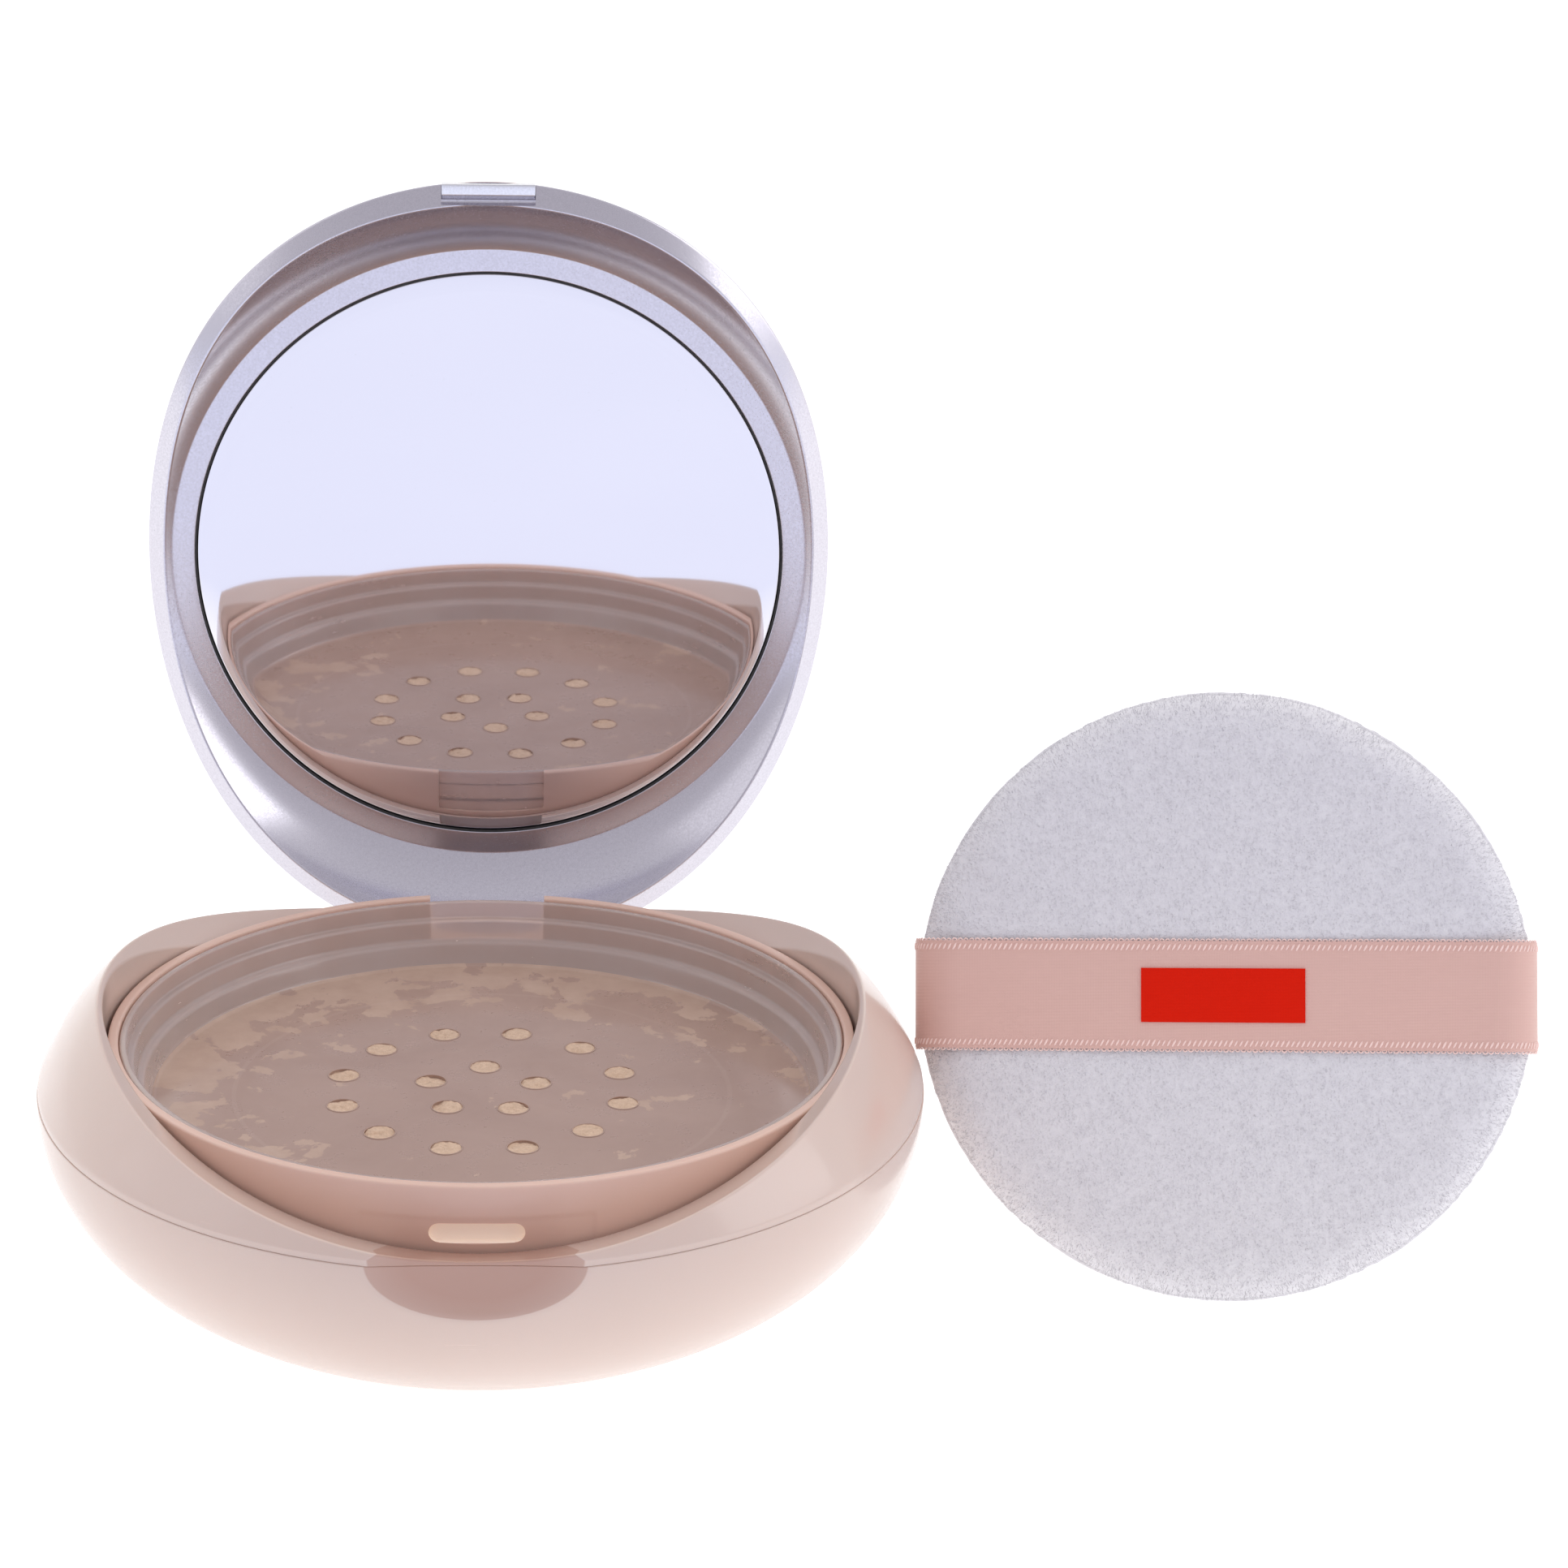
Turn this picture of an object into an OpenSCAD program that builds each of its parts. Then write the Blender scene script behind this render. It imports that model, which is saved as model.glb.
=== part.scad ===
// Round powder compact with a saddle-shaped parting line, a mirror in its lid,
// a clear sifter over loose powder, and a velour puff that stands beside it.
// The origin is the centre of the flat foot, +Z is up and the thumb notch faces -Y.

/* [Case] */
// Outer diameter of the case at its seam
case_d = 85.8; // [76:0.2:100]
// Height of the seam between bowl and collar above the table
seam_z = 22.2; // [19:0.1:27]
// Diameter of the flat foot
foot_d = 40.6; // [34:0.2:50]
// Squareness of the bowl's side curve, 2 being an ellipse
bowl_curve = 2.13; // [2:0.01:2.6]
// Wall of the lower bowl
bowl_wall = 1.6; // [1.2:0.1:2]
// Wall of the collar's channel
collar_wall = 1.3; // [1:0.1:1.6]

/* [Parting line] */
// Height of the ear tips above the seam
ear_rise = 9.3; // [6:0.1:10.5]
// Height of the front and back edge above the seam
dip_rise = 0.8; // [0.5:0.1:2]
// Fall of the channel from the outer edge to the inner ring
channel_drop = 2.1; // [1:0.1:3]
// Gap between lid and base when the lid is shut
parting_gap = 0.3; // [0.2:0.05:0.5]

/* [Inner ring and sifter] */
// Outer diameter of the inner ring
ring_d = 72; // [66:0.5:76]
// Wall of the inner ring
ring_wall = 1; // [0.8:0.1:1.4]
// Height of the ring's top above the seam
ring_rise = 5; // [4:0.1:7]
// Depth of the sifter's floor below the ring's top
sifter_depth = 6.6; // [5:0.1:7.5]
// Thickness of the sifter's floor
sifter_floor = 1; // [0.8:0.1:1.4]
// Diameter of one sifter hole
hole_d = 3; // [2:0.1:4]
// Diameter of the outer circle of holes
outer_holes_pcd = 28; // [24:0.5:36]
// Diameter of the inner circle of holes
inner_holes_pcd = 10.8; // [9:0.1:14]
// Depth of the powder jar below the sifter
jar_depth = 9; // [6:0.5:10]

/* [Lid] */
// Wall of the lid shell
lid_wall = 1.4; // [1:0.1:1.6]
// Radius of the lid's shoulder
shoulder_r = 24.8; // [22:0.1:27]
// Lean of the shoulder curve at the seam, in degrees
shoulder_lean = 21; // [18:0.5:24]
// Slope left for the shallow crown of the lid, in degrees
crown_slope = 10; // [6:0.5:14]
// Height of the mirror face above the ring's top when shut
mirror_lift = 3; // [2:0.1:3.4]
// Diameter of the mirror
mirror_d = 62.4; // [56:0.2:64]
// Thickness of the mirror
mirror_t = 1.2; // [1:0.1:1.6]
// Width of the satin ring round the mirror
mirror_border = 2.6; // [2:0.1:3]
// Thickness of the liner's rim that covers the shell's edge
rim_t = 0.9; // [0.6:0.1:1.2]
// Angle that the open lid stands at, from shut
open_angle = 88.4; // [70:0.1:100]

/* [Hinge and catch] */
// Inset of the hinge axis from the case's outer wall
hinge_inset = 1.8; // [1.6:0.1:2.4]
// Drop of the hinge axis below the seam
hinge_drop = 4.7; // [4:0.1:5.2]
// Width of the lid's hinge lug
lug_w = 11.4; // [8:0.2:13]
// Diameter of the hinge knuckles
knuckle_d = 3.4; // [3:0.1:3.6]
// Diameter of the hinge pin
pin_d = 1.2; // [1:0.1:1.5]
// Width of the catch slot in the inner ring
slot_w = 8.6; // [6:0.2:12]
// Height of the catch slot
slot_h = 1.85; // [1.6:0.05:2.2]
// Depth of the thumb notch
notch_depth = 1.5; // [1:0.1:1.5]

/* [Puff] */
// Diameter of the puff
puff_d = 60; // [52:0.5:64]
// Thickness of the puff
puff_t = 7.6; // [6:0.1:8]
// Width of the ribbon handle
ribbon_w = 10.6; // [8:0.2:14]
// Thickness of the ribbon
ribbon_t = 0.5; // [0.3:0.1:0.8]
// Lean of the standing puff, in degrees
puff_lean = 22.2; // [10:0.1:30]
// Turn of the puff towards the case, in degrees
puff_turn = 10.9; // [0:0.1:20]

/* [Hidden] */
$fn = 96;
eps = 0.01;
big = 200;
fit = 0.1;          // clearance between pieces that seat in each other
curve_steps = 30;   // points along the bowl's side curve

case_r = case_d / 2;
foot_r = foot_d / 2;
ring_r = ring_d / 2;
ring_z = seam_z + ring_rise;

// shoulder curve that the collar and the shut lid share
belt_step = 0.1;    // the collar stands this much inside the bowl at the seam
belt_bulge = 0.15;  // how far the shoulder's arc would pass the bowl at the seam
shoulder_x = case_r + belt_bulge - shoulder_r * cos(shoulder_lean);
shoulder_z = seam_z - shoulder_r * sin(shoulder_lean);
crown_x = shoulder_x + shoulder_r * sin(crown_slope);
crown_r = crown_x / sin(crown_slope);
crown_z = shoulder_z + (shoulder_r - crown_r) * cos(crown_slope);
function shoulder_at(z) = shoulder_x + sqrt(shoulder_r * shoulder_r - pow(z - shoulder_z, 2));

// saddle surface of the parting line: a ring surface whose axis lies along X above the case
bore_r = ring_r + 0.35;
dip_z = seam_z + dip_rise;
dip_y = shoulder_at(dip_z);
foot_z = dip_z - channel_drop;
ear_z = seam_z + ear_rise;
ear_x = shoulder_at(ear_z);
saddle_z = (dip_y * dip_y - bore_r * bore_r + dip_z * dip_z - foot_z * foot_z) / (2 * channel_drop);
saddle_long = sqrt(dip_y * dip_y + pow(saddle_z - dip_z, 2));
saddle_low = saddle_z - saddle_long;
saddle_side = (ear_x * ear_x + pow(ear_z - saddle_low, 2)) / (2 * (ear_z - saddle_low));

// seats inside the bowl
land_r = case_r - 1.9;          // bore at the bowl's mouth that the collar plugs into
flange_t = 1.2;
flange_z = seam_z - 5.3;        // the ring's flange rests here
plug_z = flange_z + flange_t;

// sifter, jar and powder
sifter_r = ring_r - ring_wall - fit;
floor_z = ring_z - sifter_depth;
jar_top = floor_z - sifter_floor - 0.07;
jar_wall = 1.2;
jar_floor = 1.2;
jar_r = sifter_r - 0.05;
ledge_h = 0.6;
jar_shoulder_z = flange_z + ledge_h;
jar_low_r = jar_r - 1.1;
jar_z = jar_top - jar_depth;
hole_start = 106.6;             // angle of the first outer hole
inner_start = 160;              // angle of the first inner hole

// hinge
hinge_y = case_r - hinge_inset;
hinge_z = seam_z - hinge_drop;
knuckle_r = knuckle_d / 2;
side_gap = 0.3;
gap_w = lug_w + 2 * side_gap;
knuckle_w = 2.5;
pin_l = gap_w + 2 * knuckle_w - 0.2;
relief_r = norm([hinge_y - dip_y, dip_z - hinge_z]) + 0.35;
relief_w = 30;

// lid
mirror_z = ring_z + mirror_lift;
mirror_r = mirror_d / 2;
border_r = max(mirror_r + mirror_border, ring_r - 2.2);  // at least wide enough that the skirt clears the ring
pad_t = 0.2;
plate_t = 0.8;
seat_gap = 0.05;                // gap between the lid's shell and its liner
rim_inset = 0.15;               // the liner's rim stands this much inside the shell's outer face
plate_z = mirror_z + mirror_t + pad_t;
cove_r = 13.1;                  // hollow curve of the liner's skirt
cove_x = border_r - 6.3;
cove_z = mirror_z - sqrt(cove_r * cove_r - pow(border_r - cove_x, 2));

// catch
slot_z = ring_z - 4.6;          // middle of the catch slot
tab_w = 9.5;
tab_out = case_r - 0.75;        // outer face of the tab, in the thumb notch when shut
tab_tip = 1.05;                 // flat of the tab's tip
nose_l = 0.75;                  // reach of the sloped nose
nose_h = 0.7;
tab_low = dip_z;
tab_high = dip_z + 0.75;
tab_gap = 0.25;                 // gap behind the nose, for its give

// thumb notch
notch_sweep = 149;
notch_round = 20.7;

// puff
puff_r = puff_d / 2;
edge_r = puff_t / 2;
cover_t = 1.1;
seam_r = 0.55;
puff_gap = 0.7;
puff_x = case_r + puff_r * cos(puff_turn) + puff_gap;
puff_y = 6.1;
puff_z = (puff_r - edge_r) * cos(puff_lean) + edge_r + 0.12;
puff_spin = 4;
patch_l = 16;
patch_w = 5.4;
patch_t = 0.25;

function superellipse(r, h, n, a) = [r * pow(cos(a), 2 / n), h * pow(sin(a), 2 / n)];

// side curve of a bowl with its mouth at seam_z, its foot at foot_at and foot radius foot
module bowl_section(mouth, foot_at, foot) {
    h = seam_z - foot_at;
    n = bowl_curve;
    depth = h / pow(1 - pow(foot / mouth, n), 1 / n);
    last = asin(pow(h / depth, n / 2));
    side = [for (i = [0:curve_steps]) superellipse(mouth, depth, n, last * i / curve_steps)];
    polygon(concat([[0, seam_z]], [for (p = side) [p[0], seam_z - p[1]]], [[0, foot_at]]));
}

// half section of everything above the seam, set in by inset
module upper_section(inset = 0) {
    intersection() {
        union() {
            translate([shoulder_x, shoulder_z]) circle(shoulder_r - inset);
            translate([0, seam_z - 10]) square([shoulder_x, shoulder_z - seam_z + 20]);
            intersection() {
                translate([0, crown_z]) circle(crown_r - inset);
                translate([0, seam_z - 10]) square([crown_x, 60]);
            }
        }
        translate([0, seam_z - 10]) square([case_r - belt_step - inset, 60]);
    }
}

// room above the saddle surface, lowered by drop
module above_saddle(drop = 0) {
    translate([0, 0, saddle_z]) rotate([0, 90, 0]) rotate_extrude($fn = 180)
        translate([saddle_long - saddle_side, 0]) circle(saddle_side + drop, $fn = 180);
}

module tube(r_out, r_in, low, high) {
    difference() {
        translate([0, 0, low]) cylinder(r = r_out, h = high - low);
        translate([0, 0, low - 1]) cylinder(r = r_in, h = high - low + 2);
    }
}

module block(x, y0, y1, z0, z1) {
    translate([-x / 2, y0, z0]) cube([x, y1 - y0, z1 - z0]);
}

module along_hinge(r, l) {
    translate([-l / 2, hinge_y, hinge_z]) rotate([0, 90, 0]) cylinder(r = r, h = l);
}

// thumb notch at the front edge
module notch_tool() {
    translate([0, -(case_r - notch_depth + notch_sweep), dip_z]) rotate_extrude($fn = 180)
        translate([notch_sweep - notch_round, 0]) circle(notch_round);
}

// room that the lid's lug needs at the back of the base
module lug_room() {
    low = hinge_z - knuckle_r - side_gap;
    block(gap_w, hinge_y - knuckle_r - side_gap, case_r + 5, low, ear_z);
}

module knuckle_room() {
    block(gap_w + 2 * knuckle_w + 0.6, hinge_y - knuckle_r - 0.9, hinge_y + knuckle_r, flange_z - 1, seam_z);
}

// both pieces of the knuckle that the bowl carries, one on each side of the lug
module bowl_knuckles() {
    for (side = [-1, 1]) {
        x = side * (gap_w + knuckle_w) / 2;
        translate([x, 0, 0]) {
            along_hinge(knuckle_r, knuckle_w);
            block(knuckle_w, hinge_y - knuckle_r - 0.4, hinge_y, hinge_z - knuckle_r, hinge_z + knuckle_r);
        }
    }
}

module lower_bowl() {
    recess_r = foot_r - 2.3;
    color("#dcbfb6") difference() {
        union() {
            difference() {
                rotate_extrude() bowl_section(case_r, 0, foot_r);
                rotate_extrude() bowl_section(case_r - bowl_wall, bowl_wall, foot_r - bowl_wall);
                translate([0, 0, flange_z]) cylinder(r = land_r, h = seam_z);
                lug_room();
            }
            bowl_knuckles();
        }
        translate([0, 0, -1]) cylinder(r = recess_r, h = 1.5);
        notch_tool();
        along_hinge(pin_d / 2 + 0.01, case_r);
    }
}

module rim_collar() {
    plug_r = land_r - fit;
    hollow_r = land_r - 1.6;
    color("#cdaaa0") difference() {
        union() {
            intersection() {
                rotate_extrude() upper_section();
                tube(case_r, bore_r, seam_z, ear_z + 1);
            }
            tube(plug_r, bore_r, plug_z, seam_z + eps);
        }
        above_saddle();
        difference() {
            tube(hollow_r, bore_r + collar_wall, plug_z - 1, ear_z - 3);
            above_saddle(collar_wall);
            difference() {
                tube(case_r, bore_r, seam_z, ear_z);
                rotate_extrude() upper_section(bowl_wall);
            }
        }
        notch_tool();
        lug_room();
        knuckle_room();
    }
}

module inner_ring() {
    color("#c9a090") difference() {
        union() {
            tube(ring_r, ring_r - ring_wall, flange_z, ring_z);
            tube(land_r - 0.15, ring_r - ring_wall, flange_z, plug_z);
            tube(ring_r - ring_wall + eps, jar_low_r + fit, flange_z, jar_shoulder_z);
        }
        block(gap_w, 0, ring_r + 1, seam_z, ring_z + 1);
        lug_room();
        knuckle_room();
        catch_slot();
    }
}

module catch_slot() {
    r = slot_h / 2;
    translate([0, -ring_r + ring_wall + 0.5, slot_z]) rotate([90, 0, 0]) {
        translate([-slot_w / 2 + r, -r, 0]) cube([slot_w - slot_h, slot_h, 3]);
        for (side = [-1, 1]) translate([side * (slot_w / 2 - r), 0, 0]) cylinder(r = r, h = 3);
    }
}

module powder_jar() {
    chamfer = 1.5;
    low_in = jar_low_r - jar_wall;
    color("#d8b3a6") rotate_extrude() polygon([
        [0, jar_z], [jar_low_r - chamfer, jar_z], [jar_low_r, jar_z + chamfer],
        [jar_low_r, jar_shoulder_z], [jar_r, jar_shoulder_z], [jar_r, jar_top],
        [jar_r - jar_wall, jar_top], [jar_r - jar_wall, jar_shoulder_z + 1], [low_in, jar_shoulder_z],
        [low_in, jar_z + jar_floor + chamfer], [low_in - chamfer, jar_z + jar_floor], [0, jar_z + jar_floor]]);
}

// the sifter's holes, as centres to place children at
module at_holes() {
    for (i = [0:11]) rotate(hole_start - 30 * i) translate([outer_holes_pcd / 2, 0, 0]) children();
    for (i = [0:4]) rotate(inner_start - 72 * i) translate([inner_holes_pcd / 2, 0, 0]) children();
}

module loose_powder() {
    r = jar_low_r - jar_wall - 0.05;
    low = jar_z + jar_floor + 0.05;
    color("#e3c09c") {
        translate([0, 0, low + 1.5]) cylinder(r = r, h = jar_top - 0.2 - low - 1.5);
        translate([0, 0, low]) cylinder(r1 = r - 1.5, r2 = r, h = 1.5);
        at_holes() translate([0, 0, jar_top - 0.3]) cylinder(r = hole_d / 2 - 0.05, h = 1.1);
    }
}

module sifter() {
    low = floor_z - sifter_floor;
    color("#c9b7ae", 0.5) difference() {
        rotate_extrude() polygon([
            [0, low], [sifter_r - 1.4, low], [sifter_r - 1.4, low - eps], [sifter_r, low - eps],
            [sifter_r, ring_z - 0.3], [sifter_r - 0.7, ring_z - 0.3], [sifter_r - 0.7, ring_z - 2],
            [sifter_r - 1.4, ring_z - 2.1], [sifter_r - 1.6, ring_z - 4.1],
            [sifter_r - 2.3, ring_z - 4.3], [sifter_r - 3, floor_z], [0, floor_z]]);
        at_holes() translate([0, 0, low - 1]) cylinder(r = hole_d / 2, h = sifter_floor + 2);
    }
}

module base_label() {
    color("#f1ece8") translate([0, 0, 0.3]) cylinder(r = foot_r - 3, h = 0.2);
}

module hinge_pin() {
    color("#b9bcc2") along_hinge(pin_d / 2, pin_l);
}

// turns what is drawn shut up to the open lid's place
module opened() {
    translate([0, hinge_y, hinge_z]) rotate([-open_angle, 0, 0]) translate([0, -hinge_y, -hinge_z]) children();
}

module hinge_relief() {
    along_hinge(relief_r, relief_w);
}

// pocket in the lid's rim that the catch tab sits in
module tab_room() {
    block(tab_w, -case_r, nose_l + tab_tip + tab_gap - tab_out, tab_low - 1, tab_high);
}

module lid_shell() {
    color("#e0b9b3") opened() difference() {
        intersection() {
            difference() {
                rotate_extrude() upper_section();
                rotate_extrude() upper_section(lid_wall);
            }
            above_saddle(-parting_gap - rim_t);
        }
        hinge_relief();
        tab_room();
    }
}

module liner_section() {
    difference() {
        intersection() {
            upper_section(rim_inset);
            translate([0, seam_z - 5]) square([case_r, plate_z + plate_t - seam_z + 5]);
        }
        square([border_r, mirror_z]);
        square([mirror_r + 0.15, plate_z]);
        intersection() {
            translate([cove_x, cove_z]) circle(cove_r);
            translate([border_r - eps, 0]) square([case_r, mirror_z]);
        }
        translate([border_r - eps, 0]) square([cove_x + cove_r - border_r, cove_z]);
    }
}

// the lug reaches from the liner's back down to the pin
module lug() {
    intersection() {
        block(lug_w, hinge_y - 1.5, hinge_y + 0.15, hinge_z, seam_z + 4);
        rotate_extrude() upper_section(lid_wall + seat_gap);
    }
    along_hinge(knuckle_r, lug_w);
}

// room outside the liner for the shell's wall, above the rim that covers its edge
module shell_room() {
    difference() {
        intersection() {
            tube(case_r + 1, foot_r, seam_z - 5, plate_z + plate_t + 1);
            above_saddle(-parting_gap - rim_t + seat_gap);
        }
        rotate_extrude() upper_section(lid_wall + seat_gap);
    }
}

module lid_liner() {
    color("#cfccd2") opened() difference() {
        union() {
            difference() {
                intersection() {
                    rotate_extrude() liner_section();
                    above_saddle(-parting_gap);
                }
                shell_room();
                hinge_relief();
            }
            lug();
        }
        along_hinge(pin_d / 2 + 0.05, case_r);
        tab_room();
    }
}

module mirror_pad() {
    color("#3a3836") opened() translate([0, 0, mirror_z + mirror_t]) cylinder(r = mirror_r - 0.6, h = pad_t);
}

module mirror_glass() {
    color("#e6ebf5") opened() translate([0, 0, mirror_z]) cylinder(r = mirror_r, h = mirror_t);
}

module latch_tab() {
    tip = tab_tip - tab_out;
    color("#d5d6da") opened() translate([-tab_w / 2, 0, 0]) rotate([90, 0, 90]) linear_extrude(tab_w)
        polygon([[-tab_out, tab_low], [tip, tab_low], [tip + nose_l, tab_low + nose_h],
                 [tip + nose_l, tab_high], [-tab_out, tab_high]]);
}

// carries a puff drawn flat at the origin, ribbon side up, to where it stands
module standing() {
    translate([puff_x, puff_y, puff_z]) rotate([90 - puff_lean, 0, -puff_turn]) rotate(puff_spin) children();
}

// half section of the puff's rounded edge, set in by inset
module puff_section(inset = 0) {
    translate([0, -edge_r + inset]) square([puff_r - edge_r, puff_t - 2 * inset]);
    intersection() {
        translate([puff_r - edge_r, 0]) circle(edge_r - inset);
        translate([puff_r - edge_r - eps, -edge_r]) square(puff_t);
    }
}

module puff_half(side) {
    rotate_extrude() difference() {
        intersection() {
            puff_section();
            translate([0, side > 0 ? 0 : -edge_r]) square([puff_r, edge_r]);
        }
        puff_section(cover_t);
        translate([puff_r, 0]) circle(seam_r + 0.02);
    }
}

module puff_core() {
    color("#f2ece6") standing() rotate_extrude() puff_section(cover_t + 0.02);
}

module puff_front() {
    color("#eceaf2") standing() puff_half(1);
}

module puff_back() {
    color("#e9e6ee") standing() puff_half(-1);
}

module puff_seam() {
    color("#e2dfe8") standing() rotate_extrude() intersection() {
        translate([puff_r, 0]) circle(seam_r);
        translate([0, -1]) square([puff_r, 2]);
    }
}

module puff_ribbon() {
    lift = 0.05;
    color("#ebc3b4") standing() translate([0, ribbon_w / 2, 0]) rotate([90, 0, 0]) linear_extrude(ribbon_w)
        difference() {
            ribbon_outline(ribbon_t + lift);
            ribbon_outline(lift);
            translate([-big / 2, -big]) square(big);
        }
}

// section of the puff grown by grow, across its whole width
module ribbon_outline(grow) {
    half = puff_r - edge_r;
    translate([-half, -edge_r - grow]) square([2 * half, puff_t + 2 * grow]);
    for (side = [-1, 1]) translate([side * half, 0]) circle(edge_r + grow);
}

module ribbon_patch() {
    top = edge_r + ribbon_t + 0.05;
    color("#d8322a") standing() translate([-patch_l / 2, -patch_w / 2, top]) cube([patch_l, patch_w, patch_t]);
}

lower_bowl();
rim_collar();
inner_ring();
powder_jar();
loose_powder();
sifter();
base_label();
hinge_pin();
lid_shell();
lid_liner();
mirror_pad();
mirror_glass();
latch_tab();
puff_core();
puff_front();
puff_back();
puff_seam();
puff_ribbon();
ribbon_patch();
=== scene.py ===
import math
import bpy
import bmesh
import numpy as np
from mathutils import Matrix, Vector, noise


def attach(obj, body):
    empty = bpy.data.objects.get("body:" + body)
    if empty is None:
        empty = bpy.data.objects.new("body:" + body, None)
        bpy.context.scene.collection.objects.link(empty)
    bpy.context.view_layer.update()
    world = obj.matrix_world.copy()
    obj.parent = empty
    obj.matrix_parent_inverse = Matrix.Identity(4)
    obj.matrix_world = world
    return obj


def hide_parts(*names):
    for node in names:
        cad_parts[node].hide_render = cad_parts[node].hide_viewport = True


# Powder compact, open, with its velour puff standing beside it.
# Sizes in the dictionaries are millimetres, and go to metres when a mesh is made.

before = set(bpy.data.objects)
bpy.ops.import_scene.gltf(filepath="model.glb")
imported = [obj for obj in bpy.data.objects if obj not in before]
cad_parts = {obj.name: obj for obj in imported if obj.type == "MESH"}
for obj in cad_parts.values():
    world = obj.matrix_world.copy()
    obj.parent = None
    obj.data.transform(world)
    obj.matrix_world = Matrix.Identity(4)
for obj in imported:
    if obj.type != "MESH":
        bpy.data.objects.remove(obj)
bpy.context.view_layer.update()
mm = 0.001
scene = bpy.context.scene
print("frame loaded")


def turned(degrees, axis):
    return Matrix.Rotation(math.radians(degrees), 4, axis)


def placed(name, data):
    obj = bpy.data.objects.new(name, data)
    scene.collection.objects.link(obj)
    return obj


cameraSetup = {"place": (4.91, -349.77, 176.07), "turn": -0.772, "dip": 19.506, "lens": 89.82, "shift": 0.08,
               "swing": 2.547}


def placeCamera(c):
    data = bpy.data.cameras.new("camera")
    data.lens, data.sensor_width, data.shift_x = c["lens"], 36, c["shift"]
    data.clip_start, data.clip_end = 0.02, 20
    obj = placed("camera", data)
    stand = turned(-c["turn"], "Z") @ turned(90 - c["dip"], "X")
    swing = turned(-c["swing"], "Y")  # about the camera's own upright
    obj.matrix_world = Matrix.Translation(Vector(c["place"]) * mm) @ stand @ swing
    scene.camera = obj


placeCamera(cameraSetup)
print("camera placed")


def plainMesh(obj):
    # what the object is with its modifiers applied
    return bpy.data.meshes.new_from_object(obj.evaluated_get(bpy.context.evaluated_depsgraph_get()))


def finishMesh(obj, smooth=35, recalc=True):
    bm = bmesh.new()
    bm.from_mesh(obj.data)
    bmesh.ops.remove_doubles(bm, verts=bm.verts, dist=2e-6)
    bmesh.ops.dissolve_degenerate(bm, edges=bm.edges, dist=1e-7)
    if recalc:
        bmesh.ops.recalc_face_normals(bm, faces=bm.faces)
    bm.to_mesh(obj.data)
    bm.free()
    obj.data.polygons.foreach_set("use_smooth", [True] * len(obj.data.polygons))
    obj.data.set_sharp_from_angle(angle=math.radians(smooth))
    obj.data.update()


def newPiece(name, verts, faces, smooth=35, recalc=True):
    mesh = bpy.data.meshes.new(name)
    mesh.from_pydata([tuple(v) for v in np.asarray(verts) * mm], [], faces)
    obj = placed(name, mesh)
    finishMesh(obj, smooth, recalc)
    return obj


def loft(name, sections, closed=True, smooth=35):
    # sections go all the way round the case, each with the same number of points
    sections = np.asarray(sections)
    turns, n = sections.shape[:2]
    faces = []
    for i in range(turns):
        j = (i + 1) % turns
        for k in range(n if closed else n - 1):
            m = (k + 1) % n
            faces.append((i * n + k, j * n + k, j * n + m, i * n + m))
    return newPiece(name, sections.reshape(-1, 3), faces, smooth)


def evenly(curve, count, skipStart=0.0, skipEnd=0.0):
    # points spaced evenly along a line of points, less a bit at each end
    curve = np.asarray(curve, float)
    run = np.concatenate([[0], np.cumsum(np.hypot(*np.diff(curve, axis=0).T))])
    s = np.linspace(skipStart, run[-1] - skipEnd, count)
    return np.stack([np.interp(s, run, curve[:, 0]), np.interp(s, run, curve[:, 1])], 1)


def softLoop(curves, counts, softness, closed=True, arc=5):
    # joins curves end to end and softens the corner after each one
    lengths = [np.hypot(*np.diff(np.asarray(c, float), axis=0).T).sum() for c in curves]
    n = len(curves)
    cut = []
    for i in range(n):
        last = not closed and i == n - 1
        cut.append(0 if last else min(softness[i], 0.45 * lengths[i], 0.45 * lengths[(i + 1) % n]))
    runs = [evenly(c, counts[i], cut[i - 1] if (closed or i) else 0, cut[i]) for i, c in enumerate(curves)]
    out = []
    t = np.linspace(0, 1, arc + 2)[1:-1, None]
    for i in range(n):
        out.append(runs[i])
        if cut[i] > 0:
            a, b, corner = runs[i][-1], runs[(i + 1) % n][0], np.asarray(curves[i][-1], float)
            out.append((1 - t) ** 2 * a + 2 * t * (1 - t) * corner + t ** 2 * b)
    return np.concatenate(out)


def polyLoop(points, softness, closed=True, step=1.0, arc=5):
    # the same for straight sides, given as corners with one softness each
    pts = [np.asarray(p, float) for p in points]
    n = len(pts) if closed else len(pts) - 1
    curves = [[pts[i], pts[(i + 1) % len(pts)]] for i in range(n)]
    counts = [max(2, int(np.linalg.norm(c[1] - c[0]) / step) + 1) for c in curves]
    return softLoop(curves, counts, [softness[(i + 1) % len(pts)] for i in range(n)], closed, arc)


def straights(points):
    # the straight sides between points, one after another
    return [[points[i], points[i + 1]] for i in range(len(points) - 1)]


def atAngle(section, angle):
    # a section of (radius, height) turned to its place round the case
    return np.stack([section[:, 0] * math.cos(angle), section[:, 0] * math.sin(angle), section[:, 1]], 1)


def closeIn(low, high, isBelow, halvings=40):
    # the two sides of the place where isBelow stops being true
    for _ in range(halvings):
        mid = (low + high) / 2
        if isBelow(mid):
            low = mid
        else:
            high = mid
    return low, high


def spun(section, angles):
    # one section at every angle, as points in space
    s = np.asarray(section)
    c, d = np.cos(angles)[:, None], np.sin(angles)[:, None]
    return np.stack([s[None, :, 0] * c, s[None, :, 0] * d, np.repeat(s[None, :, 1], len(angles), 0)], 2)


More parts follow.
